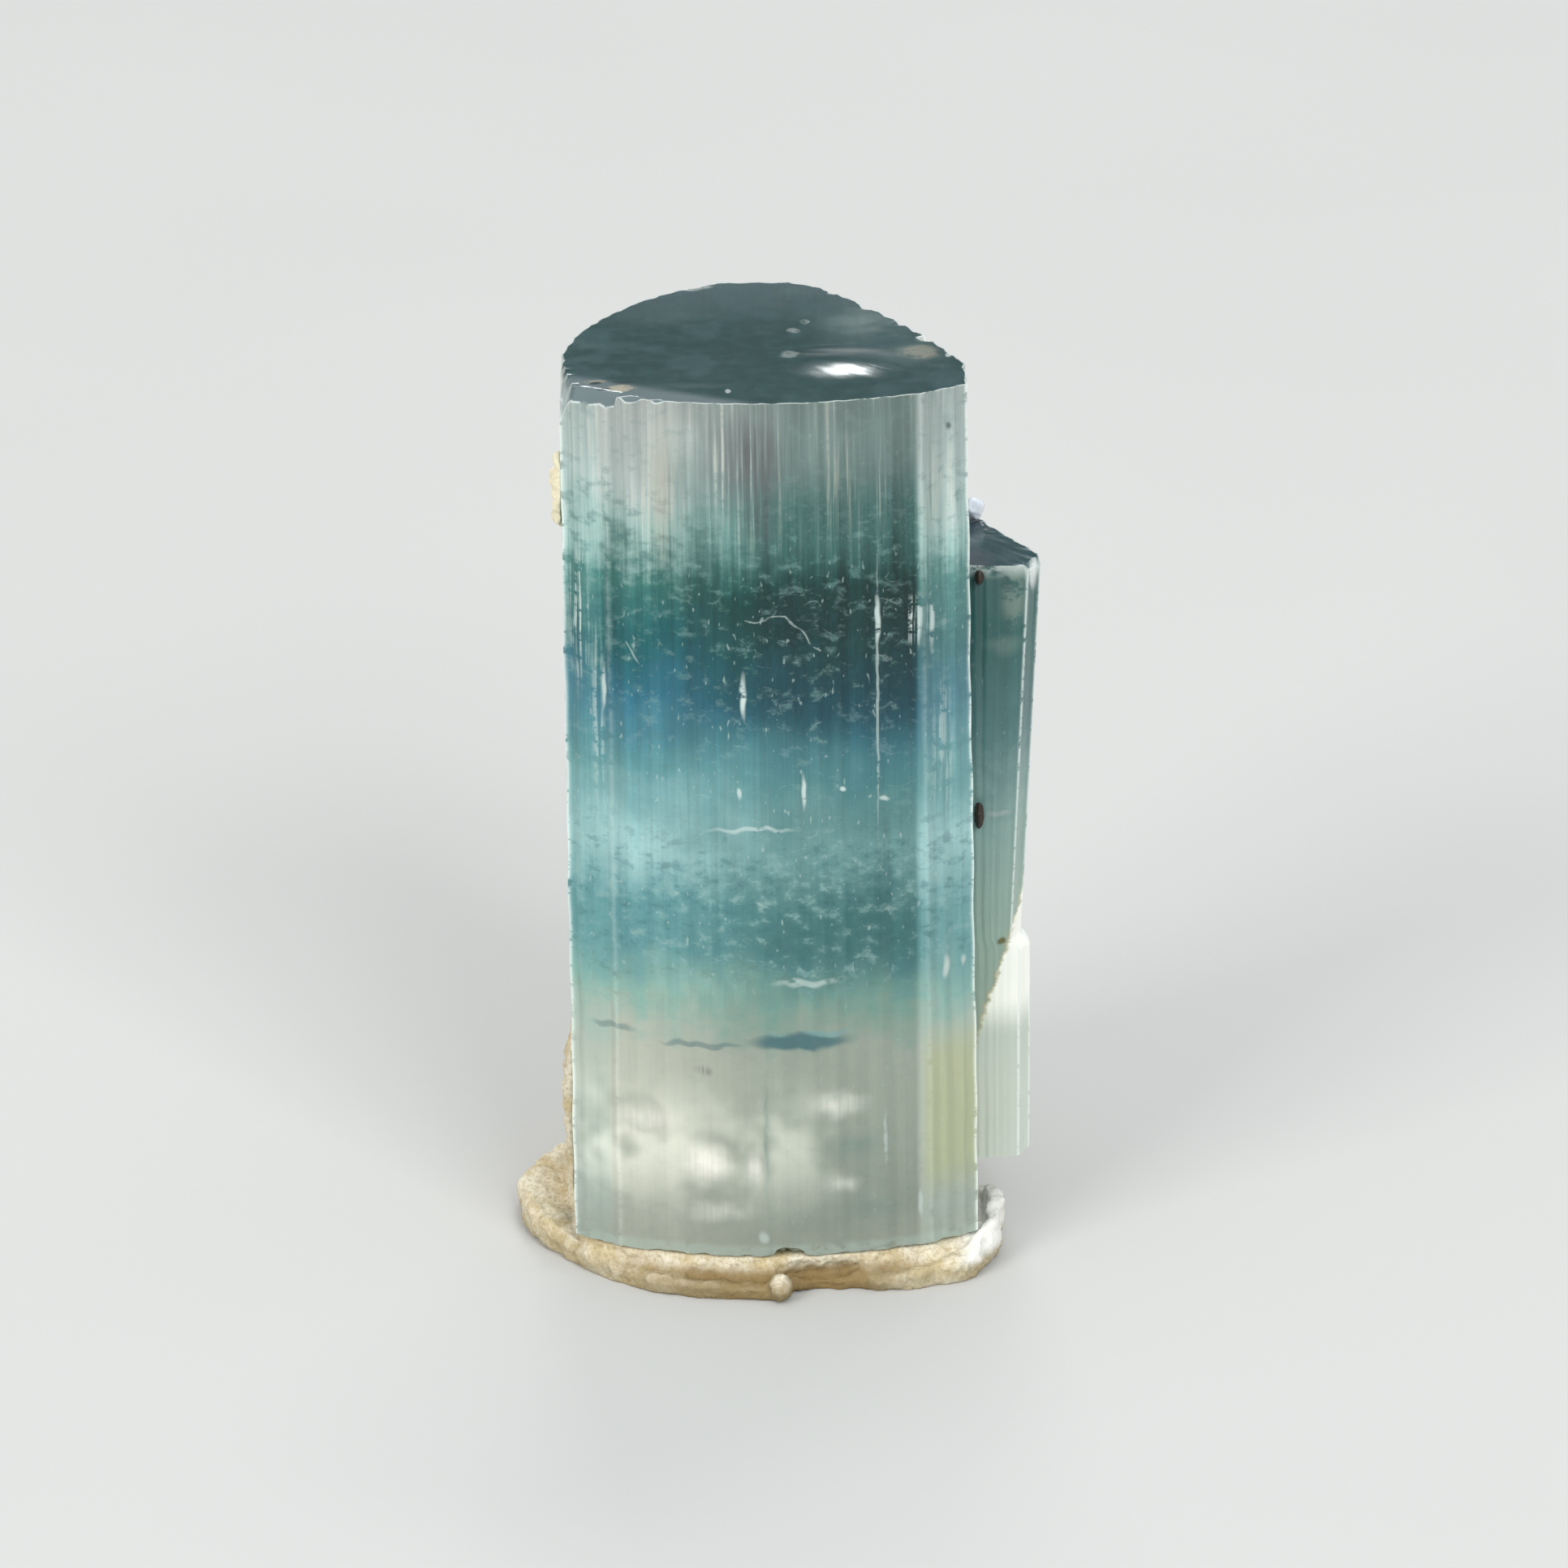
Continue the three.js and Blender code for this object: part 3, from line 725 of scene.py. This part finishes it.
    def ramp(self, value, stops, reach):
        """Colours by value. Each stop is a value from 0 to reach and an sRGB code."""
        node = self.tree.nodes.new("ShaderNodeValToRGB")
        self.put(self.math("DIVIDE", value, reach), node.inputs["Fac"])
        points = node.color_ramp.elements
        while len(points) < len(stops):
            points.new(0.5)
        for point, (at, code) in zip(points, stops):
            point.position = at / reach
            point.color = rgb(code)
        return node.outputs["Color"]

    def attribute(self, name):
        node = self.tree.nodes.new("ShaderNodeAttribute")
        node.attribute_name = name
        return node.outputs["Fac"]

    def bump(self, height, strength, distance):
        node = self.tree.nodes.new("ShaderNodeBump")
        self.put(height, node.inputs["Height"])
        node.inputs["Strength"].default_value = strength
        node.inputs["Distance"].default_value = distance * MM
        return node.outputs["Normal"]

    def finish(self, **values):
        names = {"color": "Base Color", "roughness": "Roughness", "ior": "IOR", "normal": "Normal",
                 "transmission": "Transmission Weight", "specular": "Specular IOR Level"}
        for key, value in values.items():
            self.put(value, self.surface.inputs[names[key]])
        return self.material


# ---- Materials ----

CRYSTAL_IOR = 1.63
CRYSTAL_SPECULAR = 0.15
CLEARNESS = 0.43  # the share of the light that enters and goes on through
CROWN_CLEARNESS = 0.06  # added to it near the colourless top
FRONT_Y = -6  # the middle of the marks on the front
FRONT_DEPTH = 5  # how deep they reach from it
END_MARK_DEPTH = 2  # how deep the marks on the end face reach

# The zones' colours. They are stronger than they look, as the clear surface adds a pale haze.
FOOT_SAGE = "a8aca0"
MILKY_SAGE = "d0d4c4"
AQUA = "98c4b8"
TEAL = "68a4a8"
PALE_AQUA = "b4e0e0"
DEEP_BLUE = "307890"
DEEP_TEAL = "106468"
GREEN_TEAL = "408078"
PALE_GREEN = "b0d0c8"
CLEAR = "d0dcd8"
CLEAR_GREY = "bcc0bc"
SIDE_MILK = "dce8d8"
SIDE_SAGE = "b8d0c0"
SIDE_AQUA = "a0c0b8"
SIDE_TEAL = "689090"
SIDE_DEEP = "407470"
SIDE_GREY_TEAL = "587c78"

# The zones of each crystal up its c-axis: the height of the middle of each, and its colour.
ZONES = [
    (0, FOOT_SAGE),
    (6, MILKY_SAGE),
    (9, MILKY_SAGE),
    (11, AQUA),
    (12.5, TEAL),
    (14, TEAL),
    (16.5, PALE_AQUA),
    (19, TEAL),
    (21.5, DEEP_BLUE),
    (23.5, DEEP_TEAL),
    (26, GREEN_TEAL),
    (27.5, PALE_GREEN),
    (29, CLEAR),
    (MAIN_TOP, CLEAR_GREY),
]
SIDE_ZONES = [
    (0, SIDE_MILK),
    (9.5, SIDE_SAGE),
    (15, SIDE_AQUA),
    (18, SIDE_TEAL),
    (22, SIDE_DEEP),
    (SIDE_TOP, SIDE_GREY_TEAL),
]

# Marks seen in the front: x, z, half width, half height and strength of each.
# Pale flaws, with painted glints and highlights among them where light catches the crystal, such as the spot
# low in the foot.
BRIGHT_FLAWS_AND_GLINTS = [
    (3.7, 22, 0.07, 6.4, 0.5),
    (3.7, 24.6, 0.12, 1.3, 1),
    (-0.8, 22, 0.14, 1, 1),
    (-5.5, 22, 0.11, 1.1, 0.9),
    (6.9, 20.3, 0.15, 0.6, 1),
    (1.2, 18.5, 0.11, 0.8, 0.9),
    (-1, 18.5, 0.11, 0.3, 0.8),
    (2.5, 18.6, 0.15, 0.15, 1),
    (3.9, 18.1, 0.24, 0.1, 0.8),
    (-0.6, 17.2, 1.9, 0.12, 0.6),
    (1.3, 11.6, 1.5, 0.2, 0.5),
    (6, 11.6, 0.18, 0.6, 1),
    (6.6, 11.8, 0.14, 0.3, 0.8),
    (3.9, 5.6, 0.1, 1.3, 0.45),
    (5.1, 3, 0.12, 0.7, 0.6),
    (-0.3, 2.1, 0.25, 0.3, 0.5),
]
HAIRLINES = [
    [(-0.7, 24.7), (0.6, 24.9), (1.8, 23.6)],
    [(-4.7, 23.8), (-4.3, 23)],
]
HAIRLINE_HALF = 0.045
FRACTURE = [(1, 9.4, 2.1, 0.4, 0.85), (-2.4, 9.3, 1.7, 0.14, 0.5), (-5.4, 9.7, 0.9, 0.2, 0.45)]
FRACTURE_GLINT = [(1.9, 9.7, 1.1, 0.16, 0.7), (0.2, 9.7, 0.5, 0.1, 0.4)]
# Dark grey patches on the front. The two in the crown are painted shade, the dark seen through the crystal
# there; the third is a small dark patch low in the foot.
DARK_PATCHES = [(-0.5, 30.5, 2.1, 2.6, 0.9), (-0.2, 28.4, 1.1, 2, 0.5), (-2.3, 8.3, 0.4, 0.3, 0.8)]
DARK_SPECK = [(6.1, 31, 0.15, 0.2, 0.8)]
SPARKLES = [
    (5, 24.4, 0.5, 1.3, 1),
    (5.5, 24.4, 0.14, 1.4, 0.9),
    (5.9, 19.5, 0.5, 3.5, 0.5),
    (-6.3, 24.6, 0.5, 3.6, 0.9),
    (-5.7, 21, 0.3, 5, 0.5),
]
CREAM_STREAKS = [(-3.4, 29.2, 0.9, 3.3, 0.6), (2.6, 29.6, 0.7, 2.6, 0.35), (5.6, 29, 0.7, 2.6, 0.4)]
FOOT_CLOUDS = [
    (-2.2, 4.8, 1.2, 1.1, 1),
    (-4.4, 6.3, 1.8, 0.9, 0.6),
    (-0.6, 4.6, 0.5, 1.1, 0.8),
    (2.2, 7, 1.5, 0.7, 0.65),
    (2.4, 4, 0.9, 0.5, 0.5),
    (-1.8, 3, 1.8, 0.6, 0.4),
]
FOOT_SHADES = [(-0.2, 5.6, 0.14, 3.2, 0.8), (2.8, 5.4, 1.5, 0.7, 0.6), (3.4, 3, 1.4, 0.6, 0.4)]

# Marks seen on the end face: x, y, half width, half depth and strength of each.
END_WHITE = [
    (1.4, 2.4, 0.2, 0.3, 0.4),
    (1, 1.5, 0.3, 0.3, 0.4),
    (0.9, -1, 0.4, 0.5, 0.35),
    (-1.2, -4.7, 0.12, 0.2, 0.7),
    (-2.5, 6.3, 0.9, 0.5, 0.7),
    (5.3, 0.7, 0.2, 0.35, 0.9),
    (6.2, -1.2, 0.15, 0.3, 0.9),
]
END_CREAM = [(-4.7, -4.3, 0.6, 0.4, 0.85), (-5.6, -3.6, 0.5, 0.3, 0.45), (5.2, -0.9, 0.9, 0.9, 0.35)]
# Painted shade: dark spots for small pits, which the mesh does not hollow.
END_PIT_SHADE = [(-5.3, -4.4, 0.3, 0.16, 0.9), (-5.6, -3.8, 0.26, 0.22, 0.9), (-4.7, -3.7, 0.45, 0.16, 0.7)]
END_HAZE = [(3.6, 2, 2.6, 3.4, 1), (-2.4, -4.1, 2.2, 0.5, 0.3), (4.4, -0.8, 2.8, 2.2, 0.6)]


class Crystal(Shader):
    """The parts of a graph that both crystals share: their noises, zones, streaks, specks and pale edges,
    worn and with painted highlights.
    """

    def __init__(self, name):
        super().__init__(name)
        self.fine = self.noise((7.5, 7.5, 0.16), 2, 0.6)
        self.broad = self.noise((1.7, 1.7, 0.06), 1, 0.5, shift=4)
        self.cloud = self.noise((0.42, 0.42, 0.42), 2, 0.55, shift=9)
        self.mottle = self.noise((1.6, 1.6, 2.4), 3, 0.65, shift=15)
        self.uneven = self.waver(1.9, (0.12, 0.36, 0.3))

    def waver(self, scale, reach):
        """The place, moved about by up to half of reach each way."""
        node = self.tree.nodes.new("ShaderNodeTexNoise")
        self.put(self.place, node.inputs["Vector"])
        node.inputs["Scale"].default_value = scale
        node.inputs["Detail"].default_value = 0
        back = [-r / 2 for r in reach]
        moved = self.vector("MULTIPLY_ADD", node.outputs["Color"], reach, back)
        return self.vector("ADD", self.place, moved)

    def zones(self, stops, reach, slope):
        """The colour zones by height, their borders wandering, cloudy and a little feathered by streaks."""
        feather = self.scaled(self.step(self.z, 19.0, 26.0), 0.8, 0.3)
        drift = self.add(
            self.scaled(self.broad, 1.4, -0.7),
            self.scaled(self.cloud, 2.8, -1.4),
            self.scaled(self.mottle, 2.0, -1.0),
            self.product(self.math("SUBTRACT", self.fine, 0.5), feather),
            self.math("MULTIPLY", self.x, slope),
        )
        return self.ramp(self.math("ADD", self.z, drift), stops, reach)

    def streaks(self, color, strength):
        """Lighter and darker vertical streaks of the colour that is there, fainter in the foot."""
        both = self.scaled(self.fine, 1.1, self.scaled(self.broad, 1.2, -1.15))
        depth = self.scaled(self.step(self.z, 8.0, 27.0), strength * 0.88, strength * 0.12)
        return self.vector("SCALE", color, scale=self.scaled(both, depth, 1.0))

    def fractures(self, color, strength):
        """Hairline healed fractures and short pale specks."""
        veil = self.noise((0.5, 0.5, 0.9), 1, 0.5, shift=44)
        line = self.product(self.band(veil, 0.497, 0.503, 0.003), self.step(self.mottle, 0.46, 0.6), 0.22)
        specks = self.product(self.step(self.noise((8, 8, 3.6), 0, 0.5, shift=7), 0.76, 0.84), 0.4)
        return self.tint(color, "cfe4dd", self.most(line, specks), strength)

    def worn(self, color):
        """The colour with pale edges, partly wear and partly a painted highlight along them, and how pale
        each place is.
        """
        broken = self.step(self.mottle, 0.3, 0.5)
        edge = self.product(self.attribute("edge"), broken)
        return self.tint(color, "e3eae4", edge, 0.85), edge

    def clear(self, color, edge, milk, grooving):
        """The finished see-through surface, less clear by the share that is milky or at a pale edge."""
        wall = self.step(self.up, 0.5, 0.2)
        top_rough = self.step(wall, 1.0, 0.0)
        rough = self.add(0.08, self.product(edge, 0.3), self.product(self.fine, wall, 0.08))
        rough = self.add(rough, self.product(top_rough, 0.08))
        through = self.scaled(self.step(self.z, 26.0, 30.0), CROWN_CLEARNESS, CLEARNESS)
        through = self.math("SUBTRACT", through, self.add(self.product(milk, 0.4), self.product(edge, 0.4)))
        depth = self.product(wall, self.scaled(self.step(self.z, 8.0, 26.0), 0.7, 0.2))
        return self.finish(color=color, roughness=rough, ior=CRYSTAL_IOR, transmission=through,
                           normal=self.bump(self.product(self.fine, depth), grooving, 0.07),
                           specular=CRYSTAL_SPECULAR)


def end_face(s, color):
    """The main crystal's end: dark teal seen down the c-axis, grey at its back and its chipped rim."""
    back = s.step(s.scaled(s.cloud, 5.0, s.y), 3.5, 9.5)
    end_color = s.mix(back, rgb("0e4444"), rgb("51696d"))
    end_color = s.tint(end_color, "406c6d", s.step(s.mottle, 0.42, 0.72), 0.3)
    end_color = s.tint(end_color, "50727a", s.step(s.cloud, 0.48, 0.38), 0.3)
    haze = s.product(s.end_marks(END_HAZE, 1.0), s.step(s.cloud, 0.3, 0.6))
    end_color = s.tint(end_color, "7b8f8e", haze)
    ledge = s.step(s.add(s.product(s.x, 0.5), s.y), -5.8, -6.6)
    end_color = s.tint(end_color, "8d9c9f", ledge, 0.7)
    end_color = s.tint(end_color, "d8cdb2", s.end_marks(END_CREAM), s.step(s.mottle, 0.3, 0.5))
    end_color = s.tint(end_color, "e6ede9", s.end_marks(END_WHITE), s.step(s.mottle, 0.28, 0.5))
    # Painted shade in small pits near the front-left rim.
    end_color = s.tint(end_color, "1c2c33", s.end_marks(END_PIT_SHADE))
    top = s.product(s.step(s.up, 0.35, 0.6), s.step(s.z, 29.5, 31.0))
    return s.mix(top, color, end_color)


def main_tourmaline():
    """Colour-zoned tourmaline: sage foot, blue middle, dark blue-green band and a colourless top."""
    s = Crystal("tourmaline")
    color = s.zones(ZONES, MAIN_TOP, 0.05)

    # Painted shade: the front is darker from its middle to its right-hand facet, most in the dark blue-green
    # band. Painted light: the facets at either edge of the front are pale.
    front = s.step(s.y, -2.0, -4.0)
    middle = s.product(s.step(s.scaled(s.cloud, 3.0, s.x), -3.2, 2.4), s.step(s.x, 5.2, 4.9))
    middle = s.product(middle, front)
    depth = s.scaled(s.step(s.z, 10.5, 13.0), 0.4, 0.55)
    depth = s.scaled(s.band(s.z, 18.0, 20.4, 1.0), -0.38, depth)
    color = s.tint(color, "9cb2b0", middle, depth, blend="MULTIPLY")
    darkest_shade = s.product(s.band(s.z, 24.2, 26.0, 0.8), 0.6)
    deep = s.add(darkest_shade, s.product(s.band(s.z, 20.9, 29.4, 1.0), 0.65))
    color = s.tint(color, "38b0ae", middle, deep, blend="MULTIPLY")
    color = s.tint(color, "a0b4b0", middle, s.band(s.z, 24.6, 30.4, 0.9), 0.3, blend="MULTIPLY")
    # Painted light: the front's right-hand and left-hand facets made paler.
    color = s.tint(color, "b0dcd8", s.step(s.x, 4.95, 5.25), front, 0.2)
    color = s.tint(color, "9adcd8", s.step(s.x, -5.3, -5.8), front, 0.15)

    # Pale vertical streaks, strongest in the colourless top, and dark ones between them.
    pale = s.product(s.step(s.fine, 0.5, 0.74), s.step(s.broad, 0.42, 0.62), s.step(s.mottle, 0.25, 0.55))
    color = s.tint(color, "dcd6c8", pale, s.step(s.z, 25.6, 30.0), 0.6)
    color = s.streaks(color, 0.8)
    crown = s.product(s.step(s.mottle, 0.5, 0.32), s.step(s.z, 26.5, 28.5), 0.3)
    color = s.tint(color, "8ea39e", crown)
    color = s.tint(color, "e0d9c6", s.front_marks(CREAM_STREAKS, 1.0), s.step(s.fine, 0.42, 0.6))

    # Cloudy mottling, strongest in the lower blue.
    blue = s.most(s.band(s.z, 11.2, 17.6, 0.9), s.product(s.band(s.z, 17.0, 29.0, 1.2), 0.55))
    color = s.tint(color, "9fc6c2", s.step(s.mottle, 0.52, 0.72), s.product(blue, 0.5))
    color = s.tint(color, "2c5d66", s.step(s.mottle, 0.5, 0.3), s.scaled(blue, 0.3, 0.05))

    # White haze over the crust seen through the clear foot, and a yellow-green corner.
    shades = s.product(s.front_marks(FOOT_SHADES, 1.0), s.step(s.mottle, 0.25, 0.55))
    color = s.tint(color, "7f9a8e", shades)
    clouds = s.front_marks(FOOT_CLOUDS, 1.0)
    mottled = s.product(s.step(s.mottle, 0.3, 0.65), 0.22)
    smeared = s.product(s.step(s.fine, 0.35, 0.65), 0.3)
    color = s.tint(color, "fbf8ee", clouds, s.add(mottled, smeared, 0.34))
    haze = s.product(s.band(s.z, 3.8, 7.0, 1.8), s.step(s.cloud, 0.38, 0.6), s.step(s.x, 3.2, 0.5))
    color = s.tint(color, "e8e2d6", haze, 0.24)
    lower_edge = s.product(s.band(s.z, 1.0, 1.75, 0.14), s.step(s.mottle, 0.34, 0.5))
    milk = s.most(s.product(clouds, 0.8), haze)
    corner = s.product(s.step(s.x, 5.0, 5.5), s.band(s.z, 3.6, 9.0, 1.0), front)
    color = s.tint(color, "cccf98", corner, 0.6)
    color = s.tint(color, "b9bfae", s.band(s.z, -1.0, 2.4, 0.8), 0.35)
    color = s.tint(color, "c9ddd0", lower_edge, 0.35)

    color = s.fractures(color, s.scaled(s.band(s.z, 12.0, 27.0, 2.0), 0.7, 0.3))
    # Painted shade: the dark patches in the crown, with a small dark patch in the foot.
    color = s.tint(color, "5f5a5f", s.front_marks(DARK_PATCHES, 1.0), s.step(s.fine, 0.7, 0.4))
    color = s.tint(color, "41727c", s.front_marks(FRACTURE, 0.5))
    color = s.tint(color, "86b4b4", s.front_marks(FRACTURE_GLINT))
    color = s.tint(color, "2f4a52", s.front_marks(DARK_SPECK))
    # Pale flaws and hairlines, with painted glints, highlights and sparkles among them.
    sparkles = s.product(s.front_marks(SPARKLES), s.step(s.fine, 0.44, 0.58), s.step(s.mottle, 0.4, 0.52))
    bright = s.product(s.front_marks(BRIGHT_FLAWS_AND_GLINTS), s.step(s.mottle, 0.28, 0.44))
    lines = s.product(s.hairlines(HAIRLINES, HAIRLINE_HALF), s.step(s.mottle, 0.36, 0.52), front, 0.4)
    color = s.tint(color, "e2f2ec", s.most(bright, sparkles, lines))
    color = end_face(s, color)
    color, edge = s.worn(color)
    return s.clear(color, edge, milk, 0.3)


def side_tourmaline():
    """The side crystal: teal above, milky grey-green below, and a white foot with a sloping border."""
    s = Crystal("side_tourmaline")
    color = s.zones(SIDE_ZONES, SIDE_TOP, -0.1)
    color = s.streaks(color, 0.6)
    border = s.add(s.z, s.product(s.x, -3.3), s.scaled(s.mottle, 2.0, 14.9))
    milk = s.product(s.step(border, 0.3, -0.3), s.scaled(s.step(s.z, 7.6, 9.2), 0.6, 0.4))
    color = s.tint(color, "fffef4", milk, 0.95)
    fringe = s.product(s.band(border, -0.1, 0.3, 0.25), s.step(s.z, 6.0, 8.0))
    color = s.tint(color, "dcc489", fringe, 0.5)
    patch = s.product(s.spot((8.35, -1.6, 24.0), (0.6, 2.5, 1.5), 0.7), s.step(s.mottle, 0.35, 0.55))
    faint = s.product(s.spot((8.05, -1.6, 22.2), (0.9, 2.5, 0.5), 0.8), 0.3)
    color = s.tint(color, "a9bdae", s.most(s.product(patch, 0.55), faint))
    # Painted highlight: a white patch at the top of the front-right corner.
    color = s.tint(color, "f3f6f4", s.spot((9.05, -1.4, 24.7), (0.2, 1.0, 0.9), 0.6))
    color = s.tint(color, "b5c9c6", s.spot((7.9, -1.9, 16.07), (0.5, 1.5, 0.2), 0.6))
    color = s.tint(color, "7d7a4a", s.spot((7.97, -1.9, 11.24), (0.18, 1.0, 0.22), 0.6))
    color = s.fractures(color, 0.5)
    top = s.product(s.step(s.up, 0.45, 0.7), s.step(s.z, 23.5, 24.3))
    inner = s.step(s.scaled(s.cloud, 3.0, s.x), 9.6, 8.2)
    end_color = s.mix(inner, rgb("205257"), rgb("515e68"))
    color = s.mix(top, color, end_color)
    color, edge = s.worn(color)
    return s.clear(color, edge, milk, 0.12)


def crust_material():
    """A crust, olive-ochre low on its wall and in its hollows from stain and painted shade, with a pale rim
    and a white lump partly whitened by painted light.
    """
    s = Shader("crust")
    lumps = s.noise((0.9, 0.9, 0.9), 4, 0.6)
    grit = s.noise((7, 7, 7), 3, 0.7, shift=5)
    color = s.mix(s.step(lumps, 0.35, 0.65), rgb("c7b791"), rgb("e0d9c4"))
    color = s.tint(color, "9d8657", s.step(grit, 0.55, 0.35), 0.5)
    # Darker and olive towards the bottom all round, and most on the front wall, where it is painted shade.
    front = s.product(s.step(s.y, -4.0, -6.0), s.band(s.x, -4.0, 4.2, 1.6))
    low = s.step(s.scaled(lumps, 0.8, s.z), 1.3, 0.8)
    wall = s.product(low, s.add(0.35, s.product(front, 0.4)))
    color = s.tint(color, "857a56", wall)
    # The hollows inside the rim: ochre stain with painted shade.
    color = s.tint(color, "80683a", s.attribute("hollow_stain_and_shade"), 0.9)
    # The bead at the right whitened: partly its own colour, partly painted light.
    white = s.product(s.step(s.x, 6.2, 7.0), s.step(s.z, 0.4, 0.9), s.step(s.z, 4.0, 3.0))
    color = s.tint(color, "f0f0ec", white, 0.8)
    upper = s.product(s.step(s.z, 19.0, 20.0), s.scaled(lumps, 1.0, 0.25))
    color = s.tint(color, "f3ecce", upper)
    normal = s.bump(s.add(lumps, s.product(grit, 0.5)), 0.6, 0.15)
    return s.finish(color=color, roughness=0.75, normal=normal)


def white_material():
    s = Shader("white_mineral")
    lumps = s.noise((4, 4, 4), 4, 0.6)
    color = s.mix(lumps, rgb("b9c3d2"), rgb("f3f4f6"))
    return s.finish(color=color, roughness=0.4, normal=s.bump(lumps, 0.4, 0.05))


def dark_material():
    s = Shader("dark_mineral")
    grain_noise = s.noise((6, 6, 3), 4, 0.6)
    color = s.mix(grain_noise, rgb("0d0a08"), rgb("3a2c20"))
    return s.finish(color=color, roughness=0.4, normal=s.bump(grain_noise, 0.5, 0.05))


def floor_material():
    s = Shader("floor")
    speckle = s.noise((0.02, 0.02, 0.02), 2, 0.5)
    color = s.mix(speckle, rgb("c0c0bd"), rgb("c6c6c3"))
    return s.finish(color=color, roughness=1.0, specular=0.1)


# ---- Studio ----

VIEW_ELEVATION = 22.2
VIEW_DISTANCE = 250
VIEW_ROLL = -0.58
VIEW_TARGET = (0.53, 0, 16.4)
LENS = 166.35
SENSOR = 36

Light = namedtuple("Light", "name place size power color aim")
MIDDLE = (0, 0, 14)
GLINT_POINT = (2.7, -2.9, 32.4)  # where the end face mirrors the small light behind it
WHITE = (1, 1, 1)
LIGHTS = [
    Light("key", (-600, -650, 480), (440, 440), 5.2, (1, 0.98, 0.95), MIDDLE),
    Light("fill", (350, -740, 590), (420, 420), 5.4, (0.96, 0.98, 1), MIDDLE),
    Light("back", (180, 500, 860), (360, 180), 1.2, WHITE, MIDDLE),
    Light("glint", (15, 800, 570), (240, 100), 1.3, WHITE, GLINT_POINT),
]


def add_camera():
    data = bpy.data.cameras.new("camera")
    data.lens = LENS
    data.sensor_width = SENSOR
    data.clip_start = 10 * MM
    data.clip_end = 50
    camera = bpy.data.objects.new("camera", data)
    bpy.context.scene.collection.objects.link(camera)
    tilt = math.radians(VIEW_ELEVATION)
    away = Vector((0, -math.cos(tilt), math.sin(tilt))) * VIEW_DISTANCE
    pitch = Matrix.Rotation(math.radians(90) - tilt, 4, "X")
    roll = Matrix.Rotation(math.radians(VIEW_ROLL), 4, "Z")
    camera.matrix_world = Matrix.Translation((Vector(VIEW_TARGET) + away) * MM) @ pitch @ roll
    bpy.context.scene.camera = camera


def add_light(light):
    """A rectangular light that faces its aim."""
    data = bpy.data.lights.new(light.name, "AREA")
    data.shape = "RECTANGLE"
    data.size = light.size[0] * MM
    data.size_y = light.size[1] * MM
    data.energy = light.power
    data.color = light.color
    lamp = bpy.data.objects.new(light.name, data)
    bpy.context.scene.collection.objects.link(lamp)
    spot = Vector(light.place) * MM
    target = Vector(light.aim) * MM
    turn = (target - spot).to_track_quat("-Z", "Y").to_matrix().to_4x4()
    lamp.matrix_world = Matrix.Translation(spot) @ turn


# The surroundings by how high a direction points, 0 level and 1 straight up, with a linear colour for each:
# pale around the floor, dark above it, then a bright sky.
SKY = [
    (0.0, (0.6, 0.61, 0.62)),
    (0.1, (0.56, 0.57, 0.58)),
    (0.24, (0.18, 0.19, 0.2)),
    (0.42, (0.2, 0.21, 0.22)),
    (0.85, (1.1, 1.14, 1.18)),
]
FLOOR_HALF = 20000


def add_world():
    world = bpy.data.worlds.new("studio")
    world.use_nodes = True
    nodes, links = world.node_tree.nodes, world.node_tree.links
    direction = nodes.new("ShaderNodeTexCoord")
    split = nodes.new("ShaderNodeSeparateXYZ")
    ramp = nodes.new("ShaderNodeValToRGB")
    links.new(direction.outputs["Generated"], split.inputs[0])
    links.new(split.outputs["Z"], ramp.inputs["Fac"])
    stops = ramp.color_ramp.elements
    while len(stops) < len(SKY):
        stops.new(0.5)
    for stop, (at, color) in zip(stops, SKY):
        stop.position = at
        stop.color = (*color, 1)
    links.new(ramp.outputs["Color"], nodes["Background"].inputs["Color"])
    nodes["Background"].inputs["Strength"].default_value = 1.0
    bpy.context.scene.world = world


def add_floor(material):
    signs = [(-1, -1), (1, -1), (1, 1), (-1, 1)]
    points = [(x * FLOOR_HALF, y * FLOOR_HALF, 0) for x, y in signs]
    floor = add_mesh("floor", points, [(0, 1, 2, 3)], material)


def studio():
    add_camera()
    add_world()
    add_floor(floor_material())
    for light in LIGHTS:
        add_light(light)


# ---- The specimen ----

def specimen():
    crystal, side, crust = main_tourmaline(), side_tourmaline(), crust_material()
    white, dark = white_material(), dark_material()
    pieces = [
        (main_crystal(crystal), "main_crystal", "tourmaline"),
        (side_crystal(side), "side_crystal", "tourmaline"),
        (matrix_crust(crust), "matrix_crust", "crust"),
        (upper_crust(crust), "upper_crust", "crust"),
        (grain("white_grain", white, WHITE_VOXEL, WHITE_LUMPS), "white_grain", "white_mineral"),
        (grain("dark_grain_upper", dark, DARK_VOXEL, DARK_LUMPS), "dark_grain_upper", "dark_mineral"),
        (grain("dark_grain_lower", dark, DARK_VOXEL, DARK_LUMPS), "dark_grain_lower", "dark_mineral"),
    ]
    for piece, node, slot in pieces:
        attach(piece, "root")
        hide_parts(node)


studio()
specimen()
bpy.context.scene.view_settings.view_transform = "Standard"
